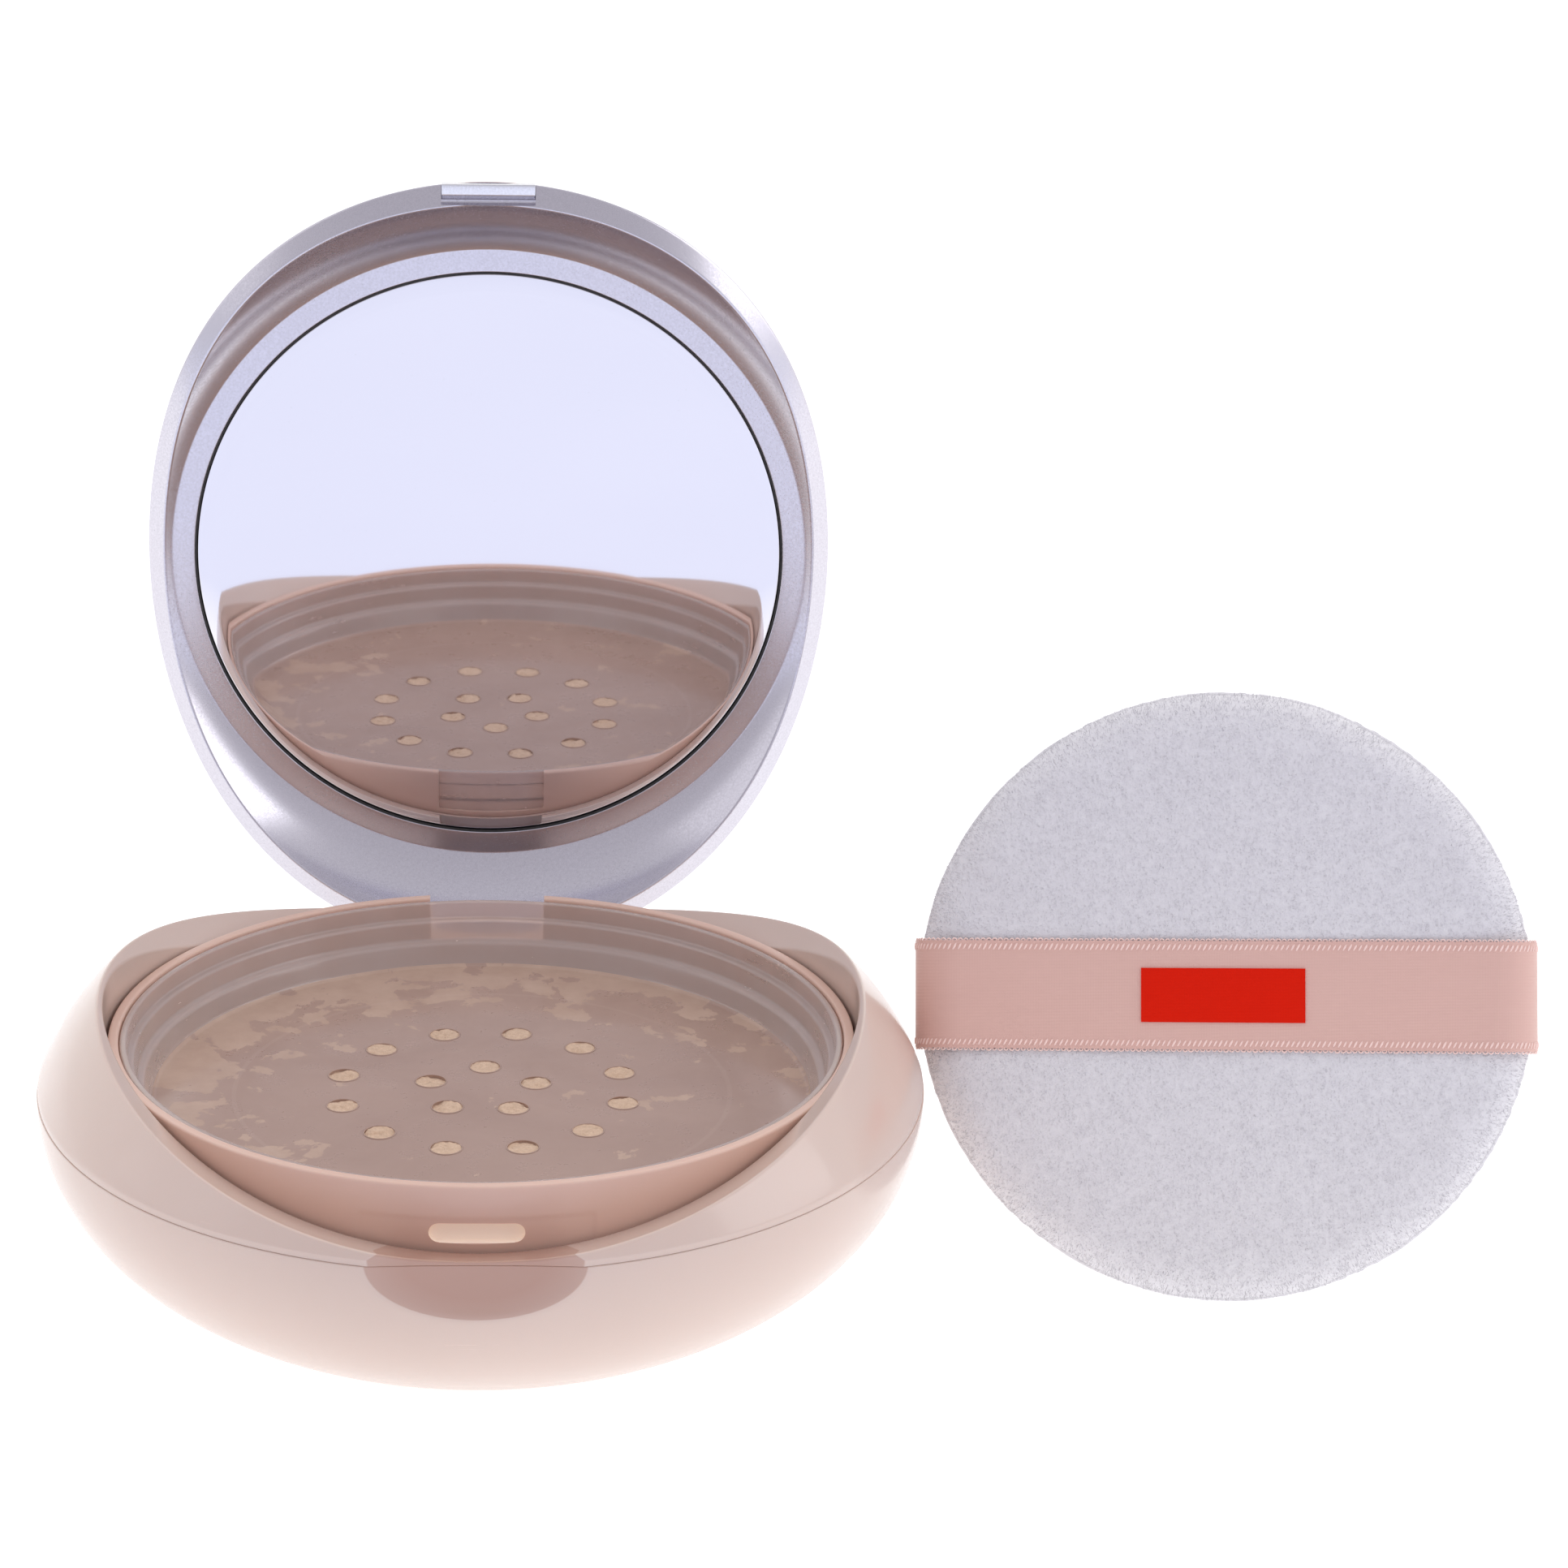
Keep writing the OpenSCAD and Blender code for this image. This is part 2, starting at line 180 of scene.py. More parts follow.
def turnAngles(step=1.5, fine=()):
    # angles round the case in radians; fine lists (middle, half width, step) in degrees
    edges = np.arange(0, 360, step)
    keep = np.ones(len(edges), bool)
    extra = []
    for mid, half, small in fine:
        keep &= np.abs((edges - mid + 180) % 360 - 180) > half - 0.3 * step
        extra.append((np.arange(-half, half + 1e-9, small) + mid) % 360)
    return np.radians(np.sort(np.concatenate([edges[keep], *extra])))


def carve(obj, cutter, operation="DIFFERENCE", smooth=35):
    mod = obj.modifiers.new("carve", "BOOLEAN")
    mod.operation, mod.solver, mod.object = operation, "EXACT", cutter
    made = plainMesh(obj)
    obj.modifiers.clear()
    obj.data = made
    bpy.data.objects.remove(cutter)
    finishMesh(obj, smooth, recalc=False)


def box(name, x, y, z, soft=0.0, steps=3):
    bm = bmesh.new()
    bmesh.ops.create_cube(bm, size=1)
    for v in bm.verts:
        v.co = Vector([low + (at + 0.5) * (high - low) for at, (low, high) in zip(v.co, (x, y, z))])
    if soft:
        bmesh.ops.bevel(bm, geom=bm.edges[:], offset=soft, segments=steps, profile=0.5, affect="EDGES")
    mesh = bpy.data.meshes.new(name)
    bm.to_mesh(mesh)
    bm.free()
    mesh.transform(Matrix.Scale(mm, 4))
    obj = placed(name, mesh)
    finishMesh(obj)
    return obj


def barrel(name, radius, x0, x1, y, z, soft=0.15, steps=48):
    # a round bar along X
    half = polyLoop([(0, x0), (radius, x0), (radius, x1), (0, x1)], [0, soft, soft, 0], False, 0.8, 3)
    pts = spun(half, np.linspace(0, 2 * np.pi, steps, endpoint=False))
    return loft(name, np.stack([pts[..., 2], pts[..., 0] + y, pts[..., 1] + z], 2), False)


def merge(name, objs):
    bpy.ops.object.select_all(action="DESELECT")
    for o in objs:
        o.select_set(True)
    bpy.context.view_layer.objects.active = objs[0]
    bpy.ops.object.join()
    objs[0].name = objs[0].data.name = name
    return objs[0]


def wear(obj, material, body, nodes=()):
    # the finish, the body that carries it, and the nodes it stands for
    if material:
        obj.data.materials.clear()
        obj.data.materials.append(material)
    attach(obj, body)
    if nodes:
        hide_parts(*nodes)


def addNode(tree, kind, props, wires):
    # a node with its settings, and each input either wired or given a value; i0, i1 and so on go by number
    node = tree.nodes.new(kind)
    for key, value in (props or {}).items():
        setattr(node, key, value)
    for key, value in wires.items():
        numbered = key[0] == "i" and key[1:].isdigit()
        socket = node.inputs[int(key[1:]) if numbered else key.replace("_", " ")]
        if isinstance(value, bpy.types.NodeSocket):
            tree.links.new(value, socket)
        else:
            socket.default_value = value
    return node


def treeInputs(floats, whole):
    kinds = [(label, "NodeSocketFloat") for label in floats] + [(label, "NodeSocketInt") for label in whole]
    return kinds + [("Material", "NodeSocketMaterial")]


class NodeDraft:
    # a node tree being drawn up, with its named inputs
    def __init__(self, name, inputs):
        self.tree = bpy.data.node_groups.new(name, "GeometryNodeTree")
        self.tree.interface.new_socket("Geometry", in_out="INPUT", socket_type="NodeSocketGeometry")
        for label, kind in inputs:
            self.tree.interface.new_socket(label, in_out="INPUT", socket_type=kind)
        self.tree.interface.new_socket("Geometry", in_out="OUTPUT", socket_type="NodeSocketGeometry")
        self.start = self.tree.nodes.new("NodeGroupInput")
        self.end = self.tree.nodes.new("NodeGroupOutput")

    def add(self, kind, props=None, **wires):
        return addNode(self.tree, kind, props, wires).outputs[0]

    def given(self, label):
        return self.start.outputs[label]

    def jitter(self, low, high, **seed):
        # a random size for each instance
        limits = {"i2": low, "i3": high}
        return addNode(self.tree, "FunctionNodeRandomValue", {"data_type": "FLOAT"}, {**limits, **seed}).outputs[1]

    def close(self, instances):
        real = self.add("GeometryNodeRealizeInstances", Geometry=instances)
        done = self.add("GeometryNodeSetMaterial", Geometry=real, Material=self.given("Material"))
        self.tree.links.new(done, self.end.inputs[0])
        return self.tree


def grow(name, host, tree, values):
    # runs a tree on the host's mesh and keeps the result as a plain mesh
    mod = host.modifiers.new("grow", "NODES")
    mod.node_group = tree
    for item in tree.interface.items_tree:
        if item.in_out == "INPUT" and item.name in values:
            mod[item.identifier] = values[item.name]
    mesh = plainMesh(host)
    host.modifiers.remove(mod)
    mesh.name = name
    return placed(name, mesh)


def emptyHost(name="host"):
    return placed(name, bpy.data.meshes.new(name))


class Finish:
    # a material being mixed
    def __init__(self, name):
        self.mat = bpy.data.materials.new(name)
        self.mat.use_nodes = True
        self.tree = self.mat.node_tree
        self.shader = self.tree.nodes["Principled BSDF"]
        self.place = self.tree.nodes.new("ShaderNodeTexCoord")

    def fixed(self, **values):
        for key, value in values.items():
            self.shader.inputs[key.replace("_", " ")].default_value = value

    def add(self, kind, props=None, **wires):
        return addNode(self.tree, kind, props, wires)

    def noise(self, scale, detail=3, rough=0.5, stretch=None, where="Object", distort=0.0):
        vec = self.place.outputs[where]
        if stretch:
            vec = self.add("ShaderNodeMapping", Vector=vec, Scale=stretch).outputs[0]
        return self.add("ShaderNodeTexNoise", Vector=vec, Scale=scale, Detail=detail, Roughness=rough,
                        Distortion=distort).outputs["Fac"]

    def ramp(self, fac, stops):
        node = self.add("ShaderNodeValToRGB", Fac=fac)
        e = node.color_ramp.elements
        while len(e) < len(stops):
            e.new(0.5)
        for i, (at, colour) in enumerate(stops):
            e[i].position = at
            e[i].color = (colour, colour, colour, 1) if isinstance(colour, (int, float)) else (*colour, 1)
        return node.outputs["Color"]

    def span(self, value, low, high, fromLow=0.3, fromHigh=0.7):
        return self.add("ShaderNodeMapRange", Value=value, From_Min=fromLow, From_Max=fromHigh, To_Min=low,
                        To_Max=high).outputs[0]

    def math(self, operation, a, b=0.0):
        return self.add("ShaderNodeMath", {"operation": operation}, i0=a, i1=b).outputs[0]

    def plus(self, a, b):
        return self.math("ADD", a, b)

    def times(self, a, b):
        return self.math("MULTIPLY", a, b)

    def mix(self, fac, a, b):
        node = self.add("ShaderNodeMix", {"data_type": "RGBA"})
        for index, value in ((0, fac), (6, a), (7, b)):
            if isinstance(value, bpy.types.NodeSocket):
                self.tree.links.new(value, node.inputs[index])
            else:
                node.inputs[index].default_value = (*value, 1) if isinstance(value, tuple) else value
        return node.outputs[2]

    def bump(self, height, depth, strength=1.0, under=None):
        node = self.add("ShaderNodeBump", Height=height, Distance=depth, Strength=strength)
        if under:
            self.tree.links.new(under, node.inputs["Normal"])
        return node.outputs[0]

    def wire(self, **sockets):
        for key, value in sockets.items():
            self.tree.links.new(value, self.shader.inputs[key.replace("_", " ")])
        return self.mat


def mouldedPlastic(name, light, dark, roughness, coat=0.4, soft=0.08, hollow=None, paintedGlow=0.0):
    # glossy moulded plastic with faint flow marks, haze and handling marks; painted shade darkens the thumb notch
    f = Finish(name)
    # the warm emission here is a painted glow; only the slot's finish turns it on
    f.fixed(Coat_Weight=coat, Coat_Roughness=0.08, IOR=1.49, Subsurface_Weight=soft,
            Subsurface_Radius=(0.004, 0.002, 0.0014), Subsurface_Scale=0.3, Emission_Color=(1.0, 0.72, 0.45, 1.0),
            Emission_Strength=paintedGlow)
    cloud = f.noise(38, 3, 0.55, distort=0.4)
    flow = f.noise(60, 4, 0.5, (1, 1, 5))
    speck = f.noise(5200, 2, 0.6)
    colour = f.mix(f.span(cloud, 0, 1), dark, light)
    colour = f.mix(f.span(speck, 0, 0.06, 0.35, 0.7), colour, (light[0] * 0.86, light[1] * 0.8, light[2] * 0.76))
    # hollow is a painted shade colour, laid into the thumb notch by the notch's depth
    if hollow:
        sunk = f.add("ShaderNodeAttribute", {"attribute_name": "hollow"}).outputs["Fac"]
        colour = f.mix(f.ramp(sunk, [(0.0, 0.0), (0.05, 0.72), (0.9, 1.0)]), colour, hollow)
    haze = f.span(flow, roughness - 0.035, roughness + 0.05)
    marks = f.ramp(f.noise(900, 5, 0.7, (0.12, 0.12, 2.6), distort=0.2), [(0.62, 0.0), (0.7, 1.0)])
    haze = f.plus(haze, f.times(marks, 0.02))
    peel = f.bump(f.noise(420, 2, 0.5), 0.00002, 0.3)
    return f.wire(Base_Color=colour, Roughness=haze, Normal=peel)


# the case's hollow colour is painted shade for the thumb notch
casePlastic = mouldedPlastic("nude case plastic", (0.70, 0.55, 0.48), (0.67, 0.52, 0.45), 0.22,
                             hollow=(0.49, 0.295, 0.23))
ringPlastic = mouldedPlastic("satin ring plastic", (0.77, 0.535, 0.44), (0.735, 0.50, 0.405), 0.38, 0.15)
lidPlastic = mouldedPlastic("nude lid plastic", (0.73, 0.545, 0.49), (0.70, 0.515, 0.46), 0.22)
# painted glow and a paler tone on the slot faces, standing in for light shining out from the thin ring wall
glowingSlotPlastic = mouldedPlastic("slot plastic with painted glow", (0.98, 0.86, 0.78), (0.95, 0.82, 0.74), 0.4, 0.15, paintedGlow=0.13)
jarPlastic = mouldedPlastic("beige jar plastic", (0.74, 0.56, 0.47), (0.70, 0.52, 0.43), 0.4, 0.0)


def satinMetal(name, tone, roughness, grain=0.35):
    # lacquered metal film over a lightly grained moulding
    f = Finish(name)
    f.fixed(Metallic=1.0, IOR=1.5)
    speck = f.noise(4200, 3, 0.7)
    broad = f.noise(45, 3, 0.5)
    dark = tuple(c * 0.86 for c in tone)
    colour = f.mix(f.span(speck, 0, 1, 0.3, 0.7), dark, tone)
    colour = f.mix(f.span(broad, 0, 0.18), colour, (tone[0], tone[1] * 0.95, tone[2] * 0.9))
    rough = f.span(speck, roughness + 0.06, roughness - 0.05)
    rough = f.plus(rough, f.span(broad, -0.03, 0.03))
    bump = f.bump(f.noise(3000, 3, 0.75), 0.00003, grain)
    return f.wire(Base_Color=colour, Roughness=rough, Normal=bump)


satinSilver = satinMetal("satin silver film", (0.69, 0.67, 0.74), 0.23, 0.1)
brightSilver = satinMetal("bright silver film", (0.86, 0.86, 0.90), 0.16, 0.06)


def mirrorSilver():
    f = Finish("silvered mirror")
    f.fixed(Metallic=1.0)
    smear = f.noise(30, 4, 0.6, (1, 1, 3), distort=0.6)
    dust = f.ramp(f.noise(2600, 2, 0.5), [(0.74, 0.0), (0.77, 1.0)])
    colour = f.mix(f.times(dust, 0.16), (0.80, 0.785, 0.83), (0.6, 0.6, 0.62))
    return f.wire(Base_Color=colour, Roughness=f.span(smear, 0.012, 0.03))


mirrorFace = mirrorSilver()


def blackEdge():
    f = Finish("black mirror edging")
    crumb = f.noise(2500, 4, 0.7)
    colour = f.mix(f.span(crumb, 0, 1), (0.008, 0.008, 0.009), (0.035, 0.033, 0.034))
    return f.wire(Base_Color=colour, Roughness=f.span(crumb, 0.35, 0.65), Normal=f.bump(crumb, 0.00003, 0.5))


mirrorEdging = blackEdge()


def drawnSteel():
    f = Finish("drawn steel wire")
    f.fixed(Metallic=1.0)
    lines = f.noise(3000, 3, 0.6, (0.05, 1, 1))
    colour = f.mix(f.span(lines, 0, 1), (0.5, 0.5, 0.52), (0.66, 0.66, 0.68))
    return f.wire(Base_Color=colour, Roughness=f.span(lines, 0.22, 0.36), Normal=f.bump(lines, 0.00001, 0.4))


pinSteel = drawnSteel()


def labelFilm():
    f = Finish("blank label film")
    fibre = f.noise(1800, 4, 0.6)
    colour = f.mix(f.span(fibre, 0, 1), (0.80, 0.78, 0.76), (0.86, 0.845, 0.83))
    return f.wire(Base_Color=colour, Roughness=f.span(fibre, 0.42, 0.55), Normal=f.bump(fibre, 0.00001, 0.3))


labelPaper = labelFilm()


def facePowder():
    f = Finish("loose face powder")
    f.fixed(Specular_IOR_Level=0.15, Sheen_Weight=0.15, Sheen_Roughness=0.6)
    crumb = f.noise(2600, 6, 0.75)
    soft = f.noise(380, 4, 0.6)
    colour = f.mix(f.span(crumb, 0, 1, 0.3, 0.65), (0.58, 0.40, 0.275), (0.77, 0.555, 0.405))
    height = f.plus(f.times(crumb, 0.5), soft)
    return f.wire(Base_Color=colour, Roughness=f.span(crumb, 0.85, 1.0), Normal=f.bump(height, 0.0002, 0.8))


powderDust = facePowder()


def clearPlastic():
    # the sifter's rim: clear, lightly scuffed, with a breath of powder in it
    f = Finish("clear sifter plastic")
    f.fixed(Transmission_Weight=0.6, IOR=1.46, Coat_Weight=0.3, Coat_Roughness=0.1)
    scuff = f.noise(700, 5, 0.7, (0.3, 0.3, 2))
    dust = f.span(f.noise(120, 4, 0.55), 0.0, 1.0)
    colour = f.mix(dust, (0.96, 0.81, 0.755), (0.92, 0.745, 0.67))
    rough = f.plus(f.span(scuff, 0.09, 0.2), f.times(dust, 0.12))
    return f.wire(Base_Color=colour, Roughness=rough, Normal=f.bump(scuff, 0.00002, 0.1))


sifterClear = clearPlastic()


def dustedFloor(reach):
    # the sifter's floor seen over powder: glossy, with torn patches where powder clings beneath
    f = Finish("dusted sifter floor")
    f.fixed(Coat_Weight=0.55, Coat_Roughness=0.12, IOR=1.46)
    flat = f.add("ShaderNodeVectorMath", {"operation": "MULTIPLY"}, i0=f.place.outputs["Object"],
                 i1=(1, 1, 0)).outputs[0]
    away = f.add("ShaderNodeVectorMath", {"operation": "LENGTH"}, i0=flat).outputs[1]
    ringed = f.span(away, 0.0, 1.0, 0.45 * reach, 0.95 * reach)
    torn = f.add("ShaderNodeTexNoise", Vector=flat, Scale=170, Detail=8, Roughness=0.6, Distortion=0.3).outputs["Fac"]
    sides = f.add("ShaderNodeSeparateXYZ", Vector=flat)
    back = f.span(f.math("SUBTRACT", sides.outputs[1], f.times(sides.outputs[0], 0.45)), 0.0, 1.0, -0.6 * reach,
                  0.9 * reach)
    field = f.plus(torn, f.times(ringed, f.plus(0.05, f.times(back, 0.2))))
    patch = f.ramp(field, [(0.645, 0.0), (0.655, 1.0)])
    mottle = f.noise(240, 5, 0.65)
    haze = f.noise(60, 4, 0.6, distort=0.8)
    base = f.mix(f.span(haze, 0, 1), (0.41, 0.27, 0.215), (0.47, 0.32, 0.258))
    powder = f.mix(f.span(mottle, 0, 1), (0.50, 0.34, 0.26), (0.585, 0.415, 0.32))
    colour = f.mix(patch, base, powder)
    halo = f.math("COMPARE", away, 0.0241)
    halo.node.inputs[2].default_value = 0.00022
    colour = f.mix(f.times(halo, 0.12), colour, (0.62, 0.47, 0.4))
    rough = f.span(f.noise(300, 5, 0.7), 0.22, 0.42)
    rough = f.plus(rough, f.times(patch, 0.18))
    bump = f.bump(patch, 0.00002, 0.2)
    return f.wire(Base_Color=colour, Roughness=rough, Normal=f.bump(mottle, 0.00002, 0.12, bump))


def velourCloth(name, light, shade):
    f = Finish(name)
    f.fixed(Specular_IOR_Level=0.1, Sheen_Weight=0.35, Sheen_Roughness=0.5, Subsurface_Weight=0.0)
    nap = f.noise(2200, 4, 0.7)
    twill = f.noise(900, 2, 0.5, (1, 0.35, 2.4))
    broad = f.noise(70, 3, 0.5)
    colour = f.mix(f.span(nap, 0, 1, 0.3, 0.7), shade, light)
    colour = f.mix(f.span(broad, 0, 0.25), colour, shade)
    height = f.plus(nap, f.times(twill, 0.8))
    return f.wire(Base_Color=colour, Roughness=f.span(twill, 0.9, 1.0), Normal=f.bump(height, 0.00016, 0.45))


velourWhite = velourCloth("white velour", (0.85, 0.835, 0.855), (0.78, 0.76, 0.795))


def satinRibbon(name, light, dark, sheen=0.2, depth=0.00004, gloss=0.3):
    # warp and weft on the ribbon's own UV map, in threads across and along it
    f = Finish(name)
    f.fixed(Sheen_Weight=sheen, Sheen_Roughness=0.35, Specular_IOR_Level=gloss)
    uv = f.place.outputs["UV"]
    parts = f.add("ShaderNodeSeparateXYZ", Vector=uv)
    along = f.math("SINE", f.times(parts.outputs[0], 2600.0))
    across = f.math("SINE", f.times(parts.outputs[1], 620.0))
    weave = f.plus(f.times(along, 0.35), f.times(across, 0.65))
    slub = f.noise(90, 4, 0.6, (1, 14, 1), "UV")
    colour = f.mix(f.span(weave, 0, 1, -1, 1), dark, light)
    colour = f.mix(f.span(slub, 0, 0.3), colour, light)
    return f.wire(Base_Color=colour, Roughness=f.span(slub, 0.38, 0.52), Normal=f.bump(weave, depth, 0.5))


ribbonSatin = satinRibbon("peach satin ribbon", (0.83, 0.54, 0.475), (0.745, 0.455, 0.39))
patchRed = satinRibbon("red woven patch", (0.80, 0.016, 0.003), (0.70, 0.010, 0.002), 0.0, 0.00002, 0.06)
ribbonThread = satinRibbon("peach edge thread", (0.97, 0.74, 0.68), (0.93, 0.69, 0.63), 0.1)
print("finishes mixed")

# the case's curves, shared by every piece that meets at the saddle-shaped edge
caseCurve = {"radius": 42.9, "seam": 22.2, "foot": 20.3, "squareness": 2.13, "shoulder": 24.8, "lean": 21,
             "bulge": 0.15, "step": 0.1, "crownSlope": 10}
edgeCurve = {"earRise": 9.3, "dipRise": 0.8, "drop": 2.1, "bore": 36.35, "gap": 0.3}
notchCurve = {"depth": 1.5, "sweep": 149, "hollow": 20.7, "softness": 0.1}
hinge = {"y": 41.1, "z": 17.5, "knuckle": 1.7, "lug": 11.4, "gap": 12.0, "barrel": 2.5, "open": 88.4,
         "lugRoom": ((39.1, 48), (15.5, 26)), "collarRoom": ((39.1, 48), (15.5, 34)), "room": 8.8,
         "web": ((39.0, 41.1), (15.8, 19.2))}

seam = caseCurve["seam"]
shoulderX = caseCurve["radius"] + caseCurve["bulge"] - caseCurve["shoulder"] * math.cos(math.radians(caseCurve["lean"]))
shoulderZ = seam - caseCurve["shoulder"] * math.sin(math.radians(caseCurve["lean"]))
crownX = shoulderX + caseCurve["shoulder"] * math.sin(math.radians(caseCurve["crownSlope"]))
crownRadius = crownX / math.sin(math.radians(caseCurve["crownSlope"]))
crownZ = shoulderZ + (caseCurve["shoulder"] - crownRadius) * math.cos(math.radians(caseCurve["crownSlope"]))


def shoulderReach(z, inset=0.0):
    r = shoulderX + np.sqrt(np.maximum((caseCurve["shoulder"] - inset) ** 2 - (z - shoulderZ) ** 2, 0))
    return np.minimum(r, caseCurve["radius"] - caseCurve["step"] - inset)


dipZ = seam + edgeCurve["dipRise"]
dipY = float(shoulderReach(dipZ))
footZ = dipZ - edgeCurve["drop"]
earZ = seam + edgeCurve["earRise"]
earX = float(shoulderReach(earZ))
saddleZ = (dipY ** 2 - edgeCurve["bore"] ** 2 + dipZ ** 2 - footZ ** 2) / (2 * edgeCurve["drop"])
saddleLong = math.hypot(dipY, saddleZ - dipZ)
saddleLow = saddleZ - saddleLong
saddleSide = (earX ** 2 + (earZ - saddleLow) ** 2) / (2 * (earZ - saddleLow))


def saddleHeight(x, y, grow=0.0):
    across = saddleLong - saddleSide + np.sqrt(np.maximum((saddleSide + grow) ** 2 - x ** 2, 0))
    return saddleZ - np.sqrt(np.maximum(across ** 2 - y ** 2, 0))


def softMin(a, b, k):
    h = np.clip(0.5 + 0.5 * (b - a) / k, 0, 1)
    return b + (a - b) * h - k * h * (1 - h)


def notchReach(angle, z):
    # how far out the thumb notch's hollow surface is
    deep = caseCurve["radius"] - notchCurve["depth"] + notchCurve["sweep"]
    bulge = np.sqrt(np.maximum(notchCurve["hollow"] ** 2 - (z - dipZ) ** 2, 0))
    ring = notchCurve["sweep"] - notchCurve["hollow"] + bulge
    toward = -deep * np.sin(angle)
    reach = toward ** 2 - deep ** 2 + ring ** 2
    return np.where((reach > 0) & (toward > 0), toward - np.sqrt(np.maximum(reach, 0)), 999.0)


def hollowed(r, angle, z):
    return softMin(r, notchReach(angle, z), notchCurve["softness"])


def bowlSide(steps=90):
    # the bowl's outside from the seam down to the foot
    n, foot, mouth = caseCurve["squareness"], caseCurve["foot"], caseCurve["radius"]
    depth = seam / (1 - (foot / mouth) ** n) ** (1 / n)
    last = math.asin((seam / depth) ** (n / 2))
    a = last * np.linspace(0, 1, steps)
    return np.stack([mouth * np.cos(a) ** (2 / n), seam - depth * np.sin(a) ** (2 / n)], 1)


bowlShape = {"wall": 1.6, "recess": 18.0, "recessDepth": 0.5, "land": 41.0, "shelf": 16.9, "lip": 0.1,
             "footSoft": 0.35,
             "inside": [(40.0, 16.9), (38.6, 12), (33.5, 6.5), (27, 2.8), (18.5, 1.6)]}


def makeBowl(c):
    side = bowlSide()[::-1]
    sections = []
    for angle in turnAngles(1.25, [(270, 18, 0.45), (90, 15, 0.6)]):
        out = evenly(side, 96)
        out[:, 0] = hollowed(out[:, 0], angle, out[:, 1])
        under = straights([(0, c["recessDepth"]), (c["recess"], c["recessDepth"]), (c["recess"], 0),
                           (caseCurve["foot"], 0)])
        land = [(out[-1, 0], seam), (c["land"], seam), (c["land"], c["shelf"])]
        curves = under + [out] + straights(land + c["inside"] + [(0, c["wall"])])
        counts = [6, 3, 4, 96, 3, 5, 3, 4, 4, 4, 4, 4]
        soft = [0.15, 0.12, c["footSoft"], c["lip"], 0.15, 0.1, 0.1, 0.5, 0.5, 0.5, 0.5, 0]
        section = softLoop(curves, counts, soft, False)
        sections.append(atAngle(section, angle))
    bowl = loft("lowerBowl", sections, False, 40)
    half = hinge["gap"] / 2
    carve(bowl, box("lugRoom", (-half, half), *hinge["lugRoom"], 0.12), smooth=40)
    parts = [bowl]
    for s in (-1, 1):
        x = sorted((s * half, s * (half + hinge["barrel"])))
        parts.append(barrel("knuckle", hinge["knuckle"], x[0], x[1], hinge["y"], hinge["z"]))
        parts.append(box("web", x, *hinge["web"], 0.15))
    return merge("lowerBowl", parts)


def markHollow(obj, reach):
    # how deep each point lies in the thumb notch, which the case's finish reads to paint shade into the notch
    co = np.empty(len(obj.data.vertices) * 3)
    obj.data.vertices.foreach_get("co", co)
    x, y, z = co.reshape(-1, 3).T / mm
    sunk = np.clip(reach(z) - notchReach(np.arctan2(y, x), z), -1, 1)
    obj.data.attributes.new("hollow", "FLOAT", "POINT").data.foreach_set("value", sunk.astype(np.float32))


bowl = makeBowl(bowlShape)
sideLine = bowlSide()[::-1]
markHollow(bowl, lambda z: np.interp(z, sideLine[:, 1], sideLine[:, 0]))
wear(bowl, casePlastic, "case", ["lower_bowl"])
print("bowl made")

collarShape = {"plug": 40.9, "plugLow": 18.1, "lip": 0.1, "edge": 0.3, "shoulderSoft": 0.25}


def findEdge(angle):
    # height at which the shoulder's outside meets the saddle surface
    def isBelow(z):
        r = float(hollowed(float(shoulderReach(z)), angle, z))
        return saddleHeight(r * math.cos(angle), r * math.sin(angle)) > z

    return sum(closeIn(seam, seam + 12.0, isBelow)) / 2


def makeCollar(c):
    sections = []
    for angle in turnAngles(1.25, [(270, 18, 0.45), (90, 15, 0.6), (0, 14, 0.6), (180, 14, 0.6)]):
        top = findEdge(angle)
        z = np.linspace(seam, top, 40)
        out = np.stack([hollowed(shoulderReach(z), angle, z), z], 1)
        r = np.linspace(out[-1, 0], edgeCurve["bore"], 24)
        channel = np.stack([r, saddleHeight(r * math.cos(angle), r * math.sin(angle))], 1)
        bore, plug = edgeCurve["bore"], c["plug"]
        curves = [out, channel] + straights([channel[-1], (bore, c["plugLow"]), (plug, c["plugLow"]), (plug, seam),
                                             out[0]])
        section = softLoop(curves, [40, 20, 12, 4, 4, 3], [c["edge"], c["shoulderSoft"], 0.1, 0.1, 0.05, c["lip"]])
        sections.append(atAngle(section, angle))
    collar = loft("rimCollar", sections, True, 40)
    gap, room = hinge["gap"] / 2, hinge["room"]
    carve(collar, box("lugRoom", (-gap, gap), *hinge["collarRoom"], 0.12), smooth=40)
    carve(collar, box("knuckleRoom", (-room, room), (38.5, 42.8), (15.9, seam + 0.001)), smooth=40)
    return collar


collar = makeCollar(collarShape)
markHollow(collar, shoulderReach)
wear(collar, casePlastic, "case", ["rim_collar"])
print("collar made")

ringShape = {"outer": 36.0, "inner": 35.0, "top": 27.2, "low": 16.9, "flange": 40.85, "flangeTop": 18.1,
             "ledge": 33.85, "ledgeTop": 17.5, "soft": 0.28,
             "slot": (8.6, 1.85, 22.6), "slotFlare": ((-35.15, 0), (-35.72, 0), (-35.86, 0.04), (-35.96, 0.13),
                                                      (-36.05, 0.3), (-36.6, 0.42)),
             "slotFaces": (4.6, 1.3, 35.05, 35.88), "panel": (10.6, 24.1, 0.07)}


